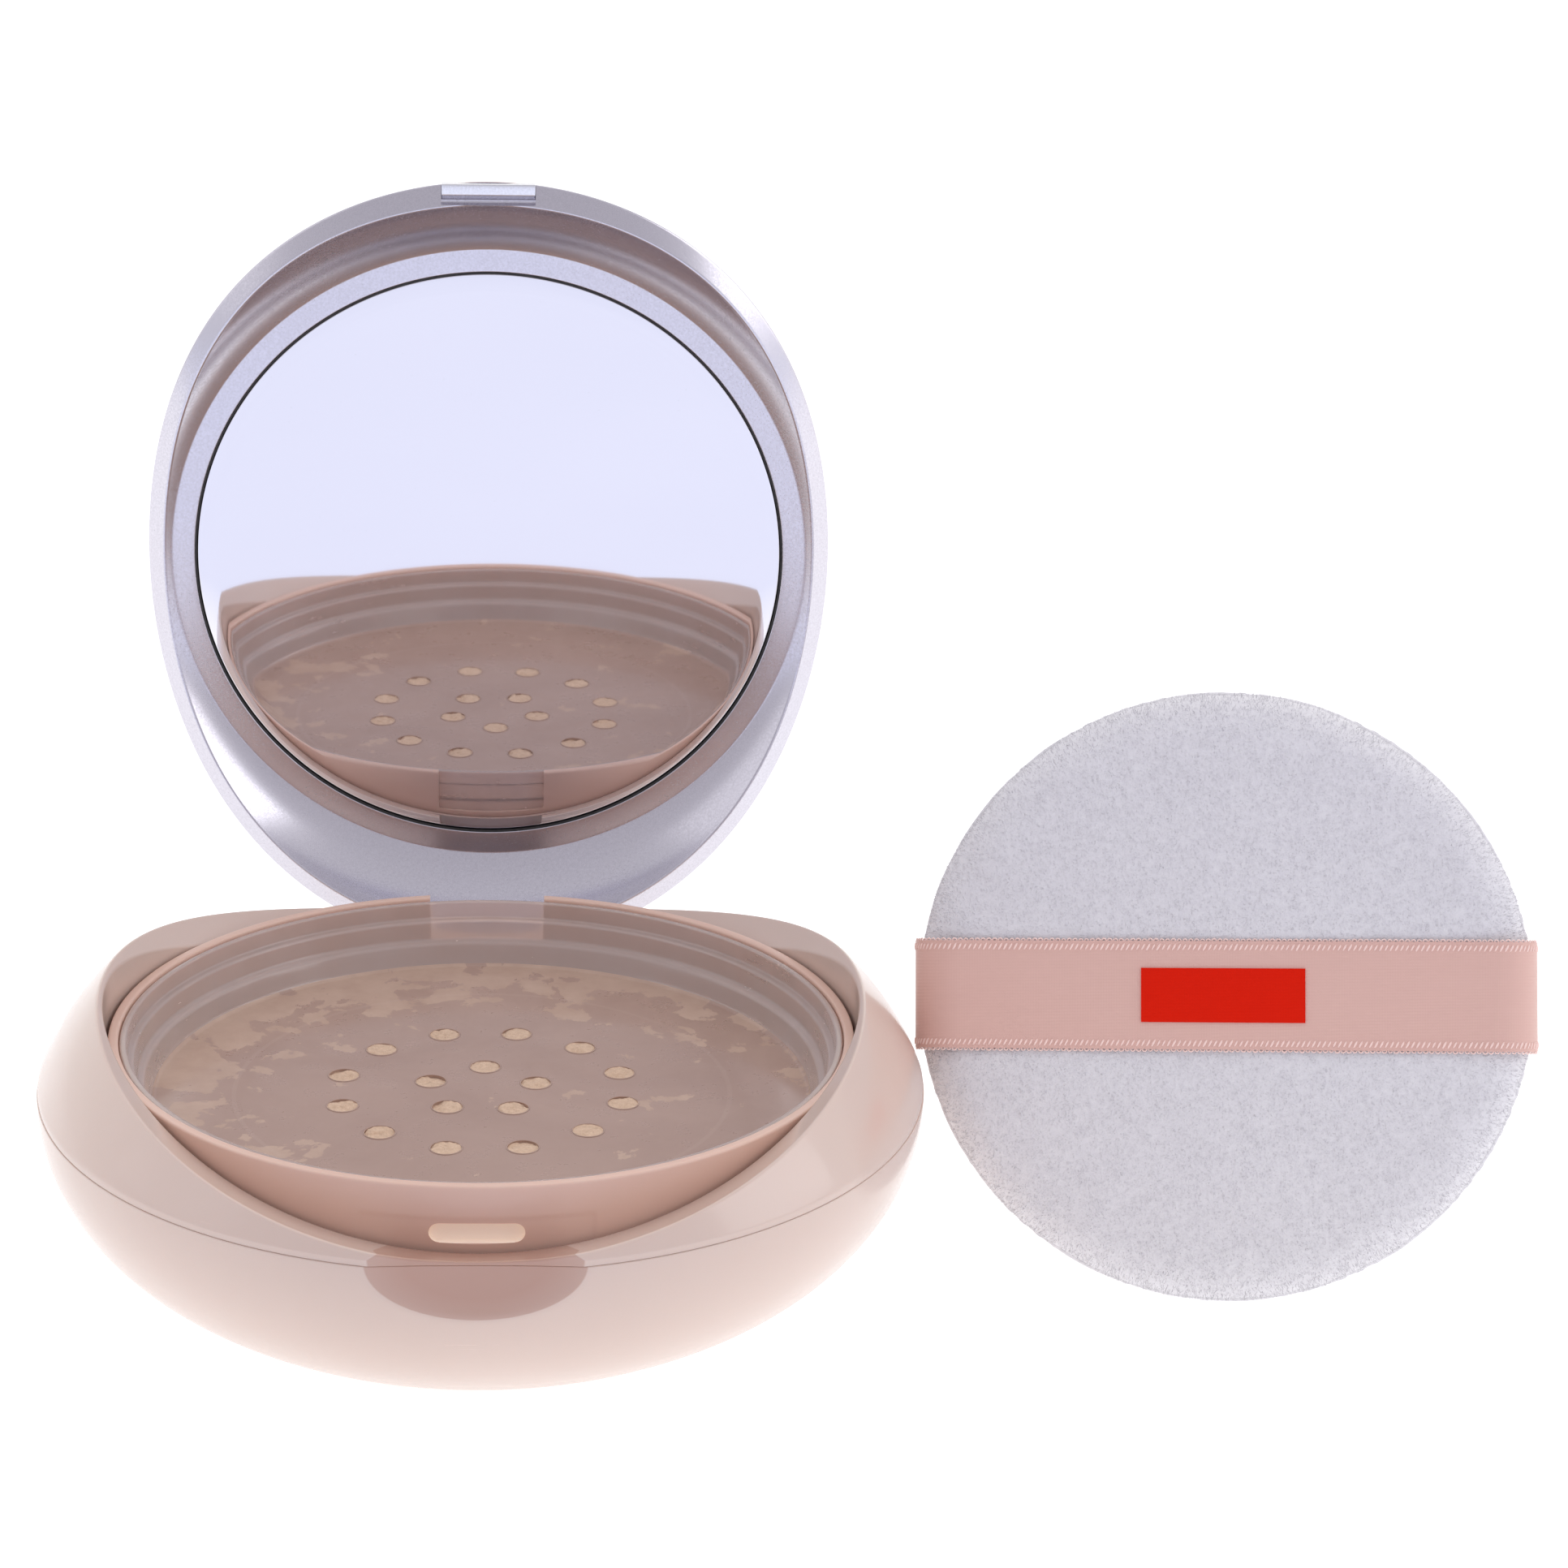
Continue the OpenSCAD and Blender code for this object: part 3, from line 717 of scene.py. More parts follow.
def slotCutter(c):
    # the catch slot, flared at its mouth so that the edge is soft
    wide, high, mid = c["slot"]
    rows = []
    for y, grow in c["slotFlare"]:
        r = high / 2 + grow
        a = np.linspace(-np.pi / 2, np.pi / 2, 13)
        right = np.stack([(wide - high) / 2 + r * np.cos(a), mid + r * np.sin(a)], 1)
        left = np.stack([-(wide - high) / 2 - r * np.cos(a), mid - r * np.sin(a)], 1)
        loop = np.concatenate([right, left])
        rows.append(np.stack([loop[:, 0], np.full(len(loop), y), loop[:, 1]], 1))
    rows = np.asarray(rows)
    n = rows.shape[1]
    faces = [(i * n + k, (i + 1) * n + k, (i + 1) * n + (k + 1) % n,
              i * n + (k + 1) % n) for i in range(len(rows) - 1) for k in range(n)]
    faces += [tuple(range(n)), tuple(range((len(rows) - 1) * n, len(rows) * n))]
    return newPiece("slotCutter", rows.reshape(-1, 3), faces)


def makeRing(c):
    base = polyLoop([(c["inner"], c["top"]), (c["outer"], c["top"]), (c["outer"], c["flangeTop"]),
                     (c["flange"], c["flangeTop"]), (c["flange"], c["low"]), (c["ledge"], c["low"]),
                     (c["ledge"], c["ledgeTop"]), (c["inner"], c["ledgeTop"])],
                    [c["soft"], c["soft"], 0.3, 0.2, 0.15, 0.1, 0.1, 0.1], True, 0.22, 5)
    sections = []
    for angle in turnAngles(1.0, [(270, 20, 0.3), (90, 12, 0.5)]):
        s = base.copy()
        x = s[:, 0] * math.cos(angle)
        wide, tall, sink = c["panel"]
        front = 1.0 if math.sin(angle) < 0 else 0.0
        inPanel = np.clip((wide - np.abs(x)) / 0.16, 0, 1) * np.clip((tall - s[:, 1]) / 0.2, 0, 1) * front
        s[:, 0] -= sink * inPanel * (s[:, 0] > c["outer"] - 0.2) * (s[:, 0] < c["outer"] + 0.05)
        sections.append(atAngle(s, angle))
    ring = loft("innerRing", sections, True, 40)
    carve(ring, slotCutter(c), smooth=40)
    gap, room = hinge["gap"] / 2, hinge["room"]
    carve(ring, box("lidGap", (-gap, gap), (20, 37.5), (seam, 30), 0.35, 4), smooth=40)
    carve(ring, box("hingeRoom", (-room, room), (38.5, 44), (15, 23)), smooth=40)
    return ring


ring = makeRing(ringShape)
wear(ring, ringPlastic, "case", ["inner_ring"])
# the slot faces take the finish with the painted glow
ring.data.materials.append(glowingSlotPlastic)
slotHalf, slotTall, slotIn, slotOut = ringShape["slotFaces"]
for face in ring.data.polygons:
    x, y, z = face.center / mm
    if abs(x) < slotHalf and y < -slotIn and abs(z - ringShape["slot"][2]) < slotTall and math.hypot(x, y) < slotOut:
        face.material_index = 1
print("ring made")

sifterShape = {"radius": 34.9, "floor": 20.6, "thick": 1.0, "top": 26.9, "soft": 0.22}
holePattern = {"Outer Circle": 14.0, "Outer Count": 12, "Outer Start": 106.6, "Inner Circle": 5.4, "Inner Count": 5,
               "Inner Start": 160.0}
holeInputs = treeInputs(["Outer Circle", "Outer Start", "Inner Circle", "Inner Start", "Hole Radius", "Depth",
                         "Height", "Roughness"],
                        ["Outer Count", "Inner Count", "Seed"])


def holePoints(d):
    # both circles of holes as points at the wanted height
    rings = []
    for part in ("Outer", "Inner"):
        circle = d.add("GeometryNodeMeshCircle", Vertices=d.given(part + " Count"), Radius=d.given(part + " Circle"))
        turn = d.add("ShaderNodeMath", {"operation": "RADIANS"}, i0=d.given(part + " Start"))
        spin = d.add("ShaderNodeCombineXYZ", Z=turn)
        lift = d.add("ShaderNodeCombineXYZ", Z=d.given("Height"))
        rings.append(d.add("GeometryNodeTransform", Geometry=circle, Rotation=spin, Translation=lift))
    both = d.tree.nodes.new("GeometryNodeJoinGeometry")
    for r in rings:
        d.tree.links.new(r, both.inputs[0])
    return both.outputs[0]


def plainHolesTree():
    d = NodeDraft("sifter holes", holeInputs)
    bar = d.add("GeometryNodeMeshCylinder", Vertices=40, Radius=d.given("Hole Radius"), Depth=d.given("Depth"))
    return d.close(d.add("GeometryNodeInstanceOnPoints", Points=holePoints(d), Instance=bar))


def holeLipsTree():
    # the thin raised lip that each moulded hole has
    d = NodeDraft("sifter hole lips", holeInputs)
    path = d.add("GeometryNodeCurvePrimitiveCircle", Resolution=36, Radius=d.given("Hole Radius"))
    wire = d.add("GeometryNodeCurvePrimitiveCircle", Resolution=8, Radius=d.given("Depth"))
    lip = d.add("GeometryNodeCurveToMesh", Curve=path, Profile_Curve=wire)
    return d.close(d.add("GeometryNodeInstanceOnPoints", Points=holePoints(d), Instance=lip))


def powderPlugsTree():
    # a crumbly plug of powder in each hole, every one pitted differently
    d = NodeDraft("powder in the holes", holeInputs)
    plug = d.add("GeometryNodeMeshCylinder", Vertices=28, Side_Segments=2, Fill_Segments=9,
                 Radius=d.given("Hole Radius"), Depth=d.given("Depth"))
    real = d.add("GeometryNodeRealizeInstances", Geometry=d.add("GeometryNodeInstanceOnPoints", Points=holePoints(d),
            Instance=plug))
    where = d.add("GeometryNodeInputPosition")
    offset = d.add("ShaderNodeCombineXYZ", X=d.given("Seed"))
    moved = d.add("ShaderNodeVectorMath", {"operation": "ADD"}, i0=where, i1=offset)
    crumbs = d.add("ShaderNodeTexNoise", Vector=moved, Scale=2300.0, Detail=3.0, Roughness=0.65)
    pits = d.add("ShaderNodeTexNoise", Vector=moved, Scale=420.0, Detail=4.0, Roughness=0.6)
    fine = d.add("ShaderNodeMapRange", Value=crumbs, From_Min=0.3, From_Max=0.7, To_Min=-0.22, To_Max=0.22)
    deep = d.add("ShaderNodeMapRange", Value=pits, From_Min=0.5, From_Max=0.68, To_Min=0.0, To_Max=-1.0)
    total = d.add("ShaderNodeMath", {"operation": "ADD"}, i0=fine, i1=deep)
    rise = d.add("ShaderNodeMath", {"operation": "MULTIPLY"}, i0=total, i1=d.given("Roughness"))
    up = d.add("GeometryNodeSetPosition", Geometry=real, Offset=d.add("ShaderNodeCombineXYZ", Z=rise))
    return d.close(up)


def holeValues(radius, depth, height, roughness, material, seed=3):
    p = {k: (v * mm if "Circle" in k else v) for k, v in holePattern.items()}
    p.update({"Hole Radius": radius * mm, "Depth": depth * mm, "Height": height * mm, "Roughness": roughness * mm,
              "Material": material, "Seed": seed})
    return p


sifterFloor = dustedFloor(0.0319)


def makeSifter(c):
    r, top, floor = c["radius"], c["top"], c["floor"]
    low = floor - c["thick"]
    rim = [(0, low), (r, low), (r, top), (r - 0.7, top), (r - 0.7, top - 1.7), (r - 1.4, top - 1.8),
           (r - 1.6, top - 3.8), (r - 2.3, top - 4.0), (r - 3, floor), (0, floor)]
    section = polyLoop(rim, [0, 0.2, c["soft"], c["soft"], 0.2, 0.3, 0.3, 0.35, 0.4, 0], False, 0.6, 5)
    sifter = loft("sifter", spun(section, turnAngles(1.25)), False, 40)
    host = emptyHost()
    cutter = grow("holeCutter", host, plainHolesTree(), holeValues(1.5, 4, floor, 0, sifterClear))
    cutter.data.materials.clear()
    carve(sifter, cutter, smooth=40)
    sifter.data.materials.clear()
    sifter.data.materials.append(sifterClear)
    sifter.data.materials.append(sifterFloor)
    limit = (r - 2.95) * mm
    for poly in sifter.data.polygons:
        poly.material_index = 1 if math.hypot(poly.center[0], poly.center[1]) < limit else 0
    lips = grow("holeLips", host, holeLipsTree(), holeValues(1.53, 0.075, floor + 0.01, 0, sifterFloor))
    plugs = grow("powderPlugs", host, powderPlugsTree(), holeValues(1.495, 0.7, floor - 0.37, 0.34, powderDust))
    bpy.data.objects.remove(host)
    for o in (lips, plugs):
        finishMesh(o, 60)
    return sifter, lips, plugs


sifter, holeLips, powderPlugs = makeSifter(sifterShape)
wear(sifter, None, "case", ["sifter"])
wear(holeLips, None, "case")
wear(powderPlugs, None, "case")
print("sifter made")

# pieces that stay as the frame has them, in their own finishes
for name, material in (("powder_jar", jarPlastic), ("loose_powder", powderDust), ("base_label", labelPaper),
                       ("hinge_pin", pinSteel)):
    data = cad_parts[name].data
    data.materials.clear()
    data.materials.append(material)

lidShape = {"wall": 1.4, "seat": 1.45, "rim": 0.9, "rimInset": 0.15, "edge": 0.28, "plateLow": 31.6,
            "plateTop": 32.4, "mirrorSeat": 31.36, "mirrorZ": 30.2, "border": 33.8, "coveX": 27.5, "cove": 13.1,
            "relief": 6.1, "reliefWide": 15.0,
            "lug": [(39.6, 17.5), (41.25, 17.5), (41.2, 21.5), (40.8, 23.6), (40.2, 24.8), (39.6, 25.6)],
            "glass": 31.03, "glassThick": 1.2, "glassShift": -0.1, "backing": 31.345}
tabShape = {"wide": 9.5, "room": (-40.1, 23.75), "outline": [(-42.15, 23.0), (-41.1, 23.0), (-40.98, 23.06),
        (-40.45, 23.6), (-40.4, 23.75), (-42.15, 23.75)]}
hingeLine = Vector((0, hinge["y"] * mm, hinge["z"] * mm))
openLid = Matrix.Translation(hingeLine) @ turned(-hinge["open"], "X") @ Matrix.Translation(-hingeLine)


def lidCurve(angle, inset, gap):
    # from the parting edge up the shoulder to the middle of the crown
    r0 = caseCurve["shoulder"] - inset
    top = math.radians(90 - caseCurve["crownSlope"])

    def isBelow(a):
        r, z = shoulderX + r0 * math.cos(a), shoulderZ + r0 * math.sin(a)
        return saddleHeight(r * math.cos(angle), r * math.sin(angle), -gap) > z

    a = np.linspace(closeIn(0.0, top, isBelow)[1], top, 48)
    side = np.stack([shoulderX + r0 * np.cos(a), shoulderZ + r0 * np.sin(a)], 1)
    b = np.radians(np.linspace(caseCurve["crownSlope"], 0, 24))[1:]
    crown = np.stack([(crownRadius - inset) * np.sin(b), crownZ + (crownRadius - inset) * np.cos(b)], 1)
    crown[-1, 0] = 0
    return np.concatenate([side, crown])


def alongSaddle(a, b, angle, gap, count=8):
    r = np.linspace(a, b, count)
    return np.stack([r, saddleHeight(r * math.cos(angle), r * math.sin(angle), -gap)], 1)


def hingeRelief(c):
    return barrel("relief", c["relief"], -c["reliefWide"], c["reliefWide"], hinge["y"], hinge["z"], 0.3, 64)


def makeLidShell(c):
    sections = []
    for angle in turnAngles(1.25, [(0, 14, 0.6), (180, 14, 0.6)]):
        gap = edgeCurve["gap"] + c["rim"]
        out, inner = lidCurve(angle, 0.0, gap), lidCurve(angle, c["wall"], gap)
        rim = alongSaddle(out[0, 0], inner[0, 0], angle, gap)
        section = softLoop([out[::-1], rim, inner], [80, 6, 60], [0.12, 0.1, 0], False)
        sections.append(atAngle(section, angle))
    shell = loft("lidShell", sections, False, 40)
    carve(shell, hingeRelief(c), smooth=40)
    return shell


def prism(name, outline, x0, x1, soft=0.06, steps=3):
    # an outline in Y and Z, drawn out along X
    n = len(outline)
    verts = [(x0, y, z) for y, z in outline] + [(x1, y, z) for y, z in outline]
    faces = [tuple(range(n)), tuple(range(n, 2 * n))] + [(i, (i + 1) % n, n + (i + 1) % n, n + i) for i in range(n)]
    obj = newPiece(name, verts, faces)
    bm = bmesh.new()
    bm.from_mesh(obj.data)
    bmesh.ops.bevel(bm, geom=bm.edges[:], offset=soft * mm, segments=steps, profile=0.5, affect="EDGES",
                    clamp_overlap=True)
    bm.to_mesh(obj.data)
    bm.free()
    finishMesh(obj)
    return obj


def makeLiner(c):
    coveZ = c["mirrorZ"] - math.sqrt(c["cove"] ** 2 - (c["border"] - c["coveX"]) ** 2)
    start = math.atan2(c["mirrorZ"] - coveZ, c["border"] - c["coveX"])
    sections = []
    for angle in turnAngles(1.25, [(0, 14, 0.6), (180, 14, 0.6)]):
        def isBelow(a):
            r, z = c["coveX"] + c["cove"] * math.cos(a), coveZ + c["cove"] * math.sin(a)
            return saddleHeight(r * math.cos(angle), r * math.sin(angle), -edgeCurve["gap"]) > z

        a = np.linspace(start, closeIn(-0.2, start, isBelow)[1], 40)
        cove = np.stack([c["coveX"] + c["cove"] * np.cos(a), coveZ + c["cove"] * np.sin(a)], 1)
        gap = edgeCurve["gap"]
        rimOut = lidCurve(angle, c["rimInset"], gap)
        rimTop = lidCurve(angle, c["rimInset"], gap + c["rim"] - 0.05)[0]
        rimOut = np.concatenate([rimOut[rimOut[:, 1] < rimTop[1] - 1e-4], [rimTop]])
        out = lidCurve(angle, c["seat"], gap + c["rim"] - 0.05)
        out = out[out[:, 1] < c["plateTop"]]
        last = shoulderX + math.sqrt((caseCurve["shoulder"] - c["seat"]) ** 2 - (c["plateTop"] - shoulderZ) ** 2)
        out = np.concatenate([out, [(last, c["plateTop"])]])
        lip = alongSaddle(cove[-1, 0], rimOut[0, 0], angle, gap)
        seat = c["mirrorSeat"]
        well = straights([(0, c["plateLow"]), (seat, c["plateLow"]), (seat, c["mirrorZ"]),
                          (c["border"], c["mirrorZ"])])
        curves = well + [cove, lip, rimOut, [rimTop, out[0]], out, [out[-1], (0, c["plateTop"])]]
        section = softLoop(curves, [8, 4, 6, 48, 14, 5, 3, 16, 8],
                           [0.1, 0.12, 0.18, 0.28, c["edge"], 0.1, 0.05, 0.1, 0], False, 6)
        sections.append(atAngle(section, angle))
    liner = loft("lidLiner", sections, False, 30)
    carve(liner, hingeRelief(c), smooth=30)
    half = tabShape["wide"] / 2 + 0.04
    carve(liner, box("tabRoom", (-half, half), (-44, tabShape["room"][0]), (20, tabShape["room"][1]), 0.05, 2),
          smooth=30)
    half = hinge["lug"] / 2
    lug = prism("lug", c["lug"], -half, half, 0.1)
    return merge("lidLiner", [liner, lug, barrel("lugBarrel", hinge["knuckle"], -half, half, hinge["y"], hinge["z"])])


def makeMirror(c):
    z, radius, thick = c["mirrorZ"], c["glass"], c["glassThick"]
    glass = polyLoop([(0, z), (radius, z), (radius, z + thick), (0, z + thick)], [0, 0.1, 0.1, 0], False, 2.0, 3)
    mirror = loft("mirrorGlass", spun(glass, turnAngles(1.0)) + np.array([0, c["glassShift"], 0]), False, 30)
    # black backing with the thin edge that shows round the glass
    inside, outside = 31.13, c["backing"]
    corners = [(inside, z + 0.08), (outside, z + 0.03), (outside, z + 1.38), (0, z + 1.38), (0, z + 1.21),
               (inside, z + 1.21)]
    edge = polyLoop(corners, [0.03] * 3 + [0, 0, 0.03], True, 0.8, 3)
    edge = np.roll(edge, -int(np.argmax(edge[:, 0] < 1e-6)), axis=0)
    backing = loft("mirrorBacking", spun(edge, turnAngles(1.0)), True, 30)
    return mirror, backing


lidShell = makeLidShell(lidShape)
lidLiner = makeLiner(lidShape)
mirrorGlass, mirrorBacking = makeMirror(lidShape)
latchTab = prism("latchTab", tabShape["outline"], -tabShape["wide"] / 2, tabShape["wide"] / 2, 0.05)
for piece, material, slotName, node in ((lidShell, lidPlastic, "lid_plastic", "lid_shell"),
                                        (lidLiner, satinSilver, "satin_metallised", "lid_liner"),
                                        (mirrorGlass, mirrorFace, "mirror", "mirror_glass"),
                                        (mirrorBacking, mirrorEdging, "dark_adhesive", "mirror_pad"),
                                        (latchTab, brightSilver, "bright_metallised", "latch_tab")):
    piece.data.transform(openLid)
    wear(piece, material, "lid", [node])
print("lid made")

puffShape = {"radius": 30.0, "thick": 7.6, "centre": (73.06, 6.1, 28.18), "lean": 22.2, "turn": 10.9, "spin": 4.0,
             "voxel": 1.15, "pressure": 4.0, "swell": 0.55, "ribbonDent": 0.22}
standPuff = Matrix.Translation(Vector(puffShape["centre"]) * mm) @ turned(-puffShape["turn"], "Z")
standPuff = standPuff @ turned(90 - puffShape["lean"], "X") @ turned(puffShape["spin"], "Z")


def inflate(obj, c):
    # the covers fill out over the foam: cloth with air in it, at ten times life size
    obj.data.transform(Matrix.Scale(10, 4))
    mod = obj.modifiers.new("remesh", "REMESH")
    mod.mode, mod.voxel_size = "VOXEL", c["voxel"] * 10 * mm
    mesh = plainMesh(obj)
    obj.modifiers.clear()
    obj.data = mesh
    rest = np.empty(len(mesh.vertices) * 3)
    mesh.vertices.foreach_get("co", rest)
    rest = rest.reshape(-1, 3)
    cloth = obj.modifiers.new("cloth", "CLOTH")
    cloth.settings.quality = 6
    cloth.settings.tension_stiffness = cloth.settings.compression_stiffness = 40
    cloth.settings.bending_stiffness = 8
    cloth.settings.use_pressure = True
    cloth.settings.uniform_pressure_force = c["pressure"]
    cloth.settings.effector_weights.gravity = 0
    for step in range(1, 21):
        scene.frame_set(step)
    now = np.empty(len(rest) * 3)
    obj.evaluated_get(bpy.context.evaluated_depsgraph_get()).data.vertices.foreach_get("co", now)
    move = now.reshape(-1, 3) - rest
    far = np.linalg.norm(move, axis=1)[:, None]
    limit = c["swell"] * 10 * mm
    move *= np.minimum(1, limit / np.maximum(far, 1e-9))
    obj.modifiers.clear()
    scene.frame_set(1)
    print("  cover moved", round(float(far.max()) * 100, 2), "mm at most, before the cap")
    puffed = (rest + move) / 10
    # the pressure draws the rim in, so the pad is let out to its own size again
    puffed[:, :2] *= c["radius"] * mm / np.hypot(puffed[:, 0], puffed[:, 1]).max()
    puffed[:, 2] *= c["thick"] / 2 * mm / np.abs(puffed[:, 2]).max()
    mesh.vertices.foreach_set("co", puffed.ravel())


def makePuffBody(c):
    shrink = c["swell"]
    radius, edge = c["radius"] - shrink, c["thick"] / 2 - shrink
    middle = radius - edge
    a = np.linspace(np.pi / 2, -np.pi / 2, 25)
    curve = np.stack([middle + edge * np.cos(a), edge * np.sin(a)], 1)
    section = np.concatenate([[(0, edge)], curve, [(0, -edge)]])
    body = loft("puffBody", spun(section, turnAngles(3)), False, 60)
    inflate(body, c)
    mod = body.modifiers.new("smoother", "SUBSURF")
    mod.levels = mod.render_levels = 2
    mesh = plainMesh(body)
    body.modifiers.clear()
    body.data = mesh
    mesh.name = "puffBody"
    # lie of the pad: shallow lumps, a press mark under the ribbon and a pinched seam
    for v in mesh.vertices:
        p = v.co / mm
        reach = math.hypot(p.x, p.y)
        lump = noise.noise(Vector((p.x * 0.055, p.y * 0.055, 3.1))) * 0.16
        rim = noise.noise(Vector((p.x * 0.16, p.y * 0.16, 8.4))) * 0.16 * max(0, (reach - 24) / 6)
        side = 1 if p.z > 0 else -1
        dent = c["ribbonDent"] * math.exp(-((p.y / 5.6) ** 6)) if p.z > 0 else 0
        pinch = 0.45 * math.exp(-((p.z / 0.55) ** 2)) * max(0, (reach - 26) / 4)
        flat = Vector((p.x, p.y, 0)).normalized() if reach > 1e-6 else Vector((0, 0, 0))
        v.co = (p + flat * (rim - pinch) + Vector((0, 0, side * lump - dent * min(1, abs(p.z) / 2)))) * mm
    finishMesh(body, 80)
    return body


puffBody = makePuffBody(puffShape)
print("puff filled")

pileShape = {"Density": 14.0, "Length": 0.42, "Width": 0.075, "Lean": 0.5, "Seed": 11}
pileInputs = treeInputs(["Density", "Length", "Width", "Lean"], ["Seed"])


def velourPileTree():
    # short tapered fibres that stand on the cover, all combed a little one way
    d = NodeDraft("velour pile", pileInputs)
    spread = d.add("GeometryNodeDistributePointsOnFaces", Mesh=d.given(0), Density=d.given("Density"),
                   Seed=d.given("Seed")).node
    fibre = d.add("GeometryNodeMeshCone", {"fill_type": "NONE"}, Vertices=3, Radius_Bottom=d.given("Width"),
                  Depth=d.given("Length"))
    back = d.add("ShaderNodeMath", {"operation": "MULTIPLY"}, i0=d.given("Lean"), i1=-1.0)
    least = d.add("ShaderNodeCombineXYZ", X=back, Y=back)
    most = d.add("ShaderNodeCombineXYZ", X=d.given("Lean"), Y=d.given("Lean"), Z=6.28)
    tilt = d.add("FunctionNodeRandomValue", {"data_type": "FLOAT_VECTOR"}, i0=least, i1=most, i8=d.given("Seed"))
    combed = d.add("FunctionNodeRotateRotation", {"rotation_space": "LOCAL"}, i0=spread.outputs["Rotation"], i1=tilt)
    size = d.jitter(0.55, 1.15)
    return d.close(d.add("GeometryNodeInstanceOnPoints", Points=spread.outputs["Points"], Instance=fibre,
                         Rotation=combed, Scale=size))


def makePile(c):
    values = {"Density": c["Density"] * 1e6, "Length": c["Length"] * mm, "Width": c["Width"] * mm / 2,
              "Lean": c["Lean"], "Seed": c["Seed"], "Material": velourWhite}
    pile = grow("velourPile", puffBody, velourPileTree(), values)
    pile.data.polygons.foreach_set("use_smooth", [True] * len(pile.data.polygons))
    return pile


velourPile = makePile(pileShape)
print("pile grown,", len(velourPile.data.polygons), "faces")

seamShape = {"radius": 29.62, "tube": 0.42, "Stitches": 96, "Stitch Length": 1.1, "Stitch Width": 0.2}


def seamStitchesTree():
    d = NodeDraft("seam stitches", treeInputs(["Radius", "Stitch Length", "Stitch Width"], ["Stitches", "Seed"]))
    circle = d.add("GeometryNodeCurvePrimitiveCircle", Resolution=192, Radius=d.given("Radius"))
    points = d.add("GeometryNodeCurveToPoints", {"mode": "COUNT"}, Curve=circle, Count=d.given("Stitches")).node
    bead = d.add("GeometryNodeMeshIcoSphere", Radius=1.0, Subdivisions=1)
    shape = d.add("ShaderNodeCombineXYZ", X=d.given("Stitch Width"), Y=d.given("Stitch Width"),
                  Z=d.given("Stitch Length"))
    thread = d.add("GeometryNodeTransform", Geometry=bead, Scale=shape)
    size = d.jitter(0.85, 1.15, i8=d.given("Seed"))
    return d.close(d.add("GeometryNodeInstanceOnPoints", Points=points.outputs[0], Instance=thread,
                         Rotation=points.outputs["Rotation"], Scale=size))


def makeSeam(c):
    angles = turnAngles(1.0)
    a = np.linspace(0, 2 * np.pi, 12, endpoint=False)
    sections = []
    for angle in angles:
        wob = noise.noise(Vector((math.cos(angle) * 6, math.sin(angle) * 6, 1.0)))
        r = c["radius"] + 0.12 * wob + c["tube"] * np.cos(a)
        z = 0.12 * noise.noise(Vector((math.cos(angle) * 9, math.sin(angle) * 9, 5.0))) + c["tube"] * np.sin(a)
        sections.append(np.stack([r * math.cos(angle), r * math.sin(angle), z], 1))
    cord = loft("puffSeam", sections, True, 60)
    host = emptyHost()
    values = {"Stitches": c["Stitches"], "Radius": (c["radius"] + c["tube"] * 0.85) * mm,
              "Stitch Length": c["Stitch Length"] * mm / 2, "Stitch Width": c["Stitch Width"] * mm / 2, "Seed": 5,
              "Material": velourWhite}
    thread = grow("seamStitches", host, seamStitchesTree(), values)
    bpy.data.objects.remove(host)
    finishMesh(thread, 60)
    return cord, thread


puffSeam, seamStitches = makeSeam(seamShape)

ribbonShape = {"wide": 10.6, "thick": 0.26, "lift": 0.16, "half": 26.2, "edge": 3.8, "Picot Pitch": 0.56,
               "Picot Size": 0.2, "Stitch Pitch": 0.5, "Stitch Length": 0.42, "Stitch Width": 0.11, "Slant": 62.0,
               "inset": 0.6}


def ribbonPath(c, extra=0.0, count=120):
    # along the ribbon: round one edge of the puff, over its face and round the other
    r = c["edge"] + c["lift"] + extra
    a = np.radians(np.linspace(186, 90, 22))
    left = np.stack([-c["half"] + r * np.cos(a), r * np.sin(a)], 1)
    right = np.stack([-left[::-1, 0], left[::-1, 1]], 1)
    return evenly(np.concatenate([left, right]), count)


def ribbonWave(x, y):
    # the slight slack that a sewn ribbon has
    return 0.10 * noise.noise(Vector((x * 0.09, y * 0.22, 2.0))) + 0.05 * math.cos(y * 0.6) - 0.05


def ribbonPoint(path, i, y, out):
    # a point on the ribbon, out from its middle line by out
    p = path[i]
    q = path[min(i + 1, len(path) - 1)] - path[max(i - 1, 0)]
    n = np.array([-q[1], q[0]]) / np.hypot(*q)
    grip = min(1.0, (ribbonHalf - abs(p[0])) / 4) if abs(p[0]) < ribbonHalf else 0.0
    w = ribbonWave(p[0], y) * grip + out
    return (p[0] + n[0] * w, y, p[1] + n[1] * w)


ribbonHalf = ribbonShape["half"]


def layered(name, verts, n, m, uvAt):
    # a piece of two layers of n by m points, closed round its edges, with its own UV map
    top = lambda i, k: i * m + k
    low = lambda i, k: n * m + i * m + k
    faces = []
    for i in range(n - 1):
        for k in range(m - 1):
            faces.append((top(i, k), top(i + 1, k), top(i + 1, k + 1), top(i, k + 1)))
            faces.append((low(i, k), low(i, k + 1), low(i + 1, k + 1), low(i + 1, k)))
        for k in (0, m - 1):
            faces.append((top(i, k), low(i, k), low(i + 1, k), top(i + 1, k)))
    for i in (0, n - 1):
        for k in range(m - 1):
            faces.append((top(i, k), top(i, k + 1), low(i, k + 1), low(i, k)))
    piece = newPiece(name, verts, faces, 50)
    layer = piece.data.uv_layers.new(name="UVMap")
    for loop in piece.data.loops:
        layer.data[loop.index].uv = uvAt(piece.data.vertices[loop.vertex_index].co)
    return piece


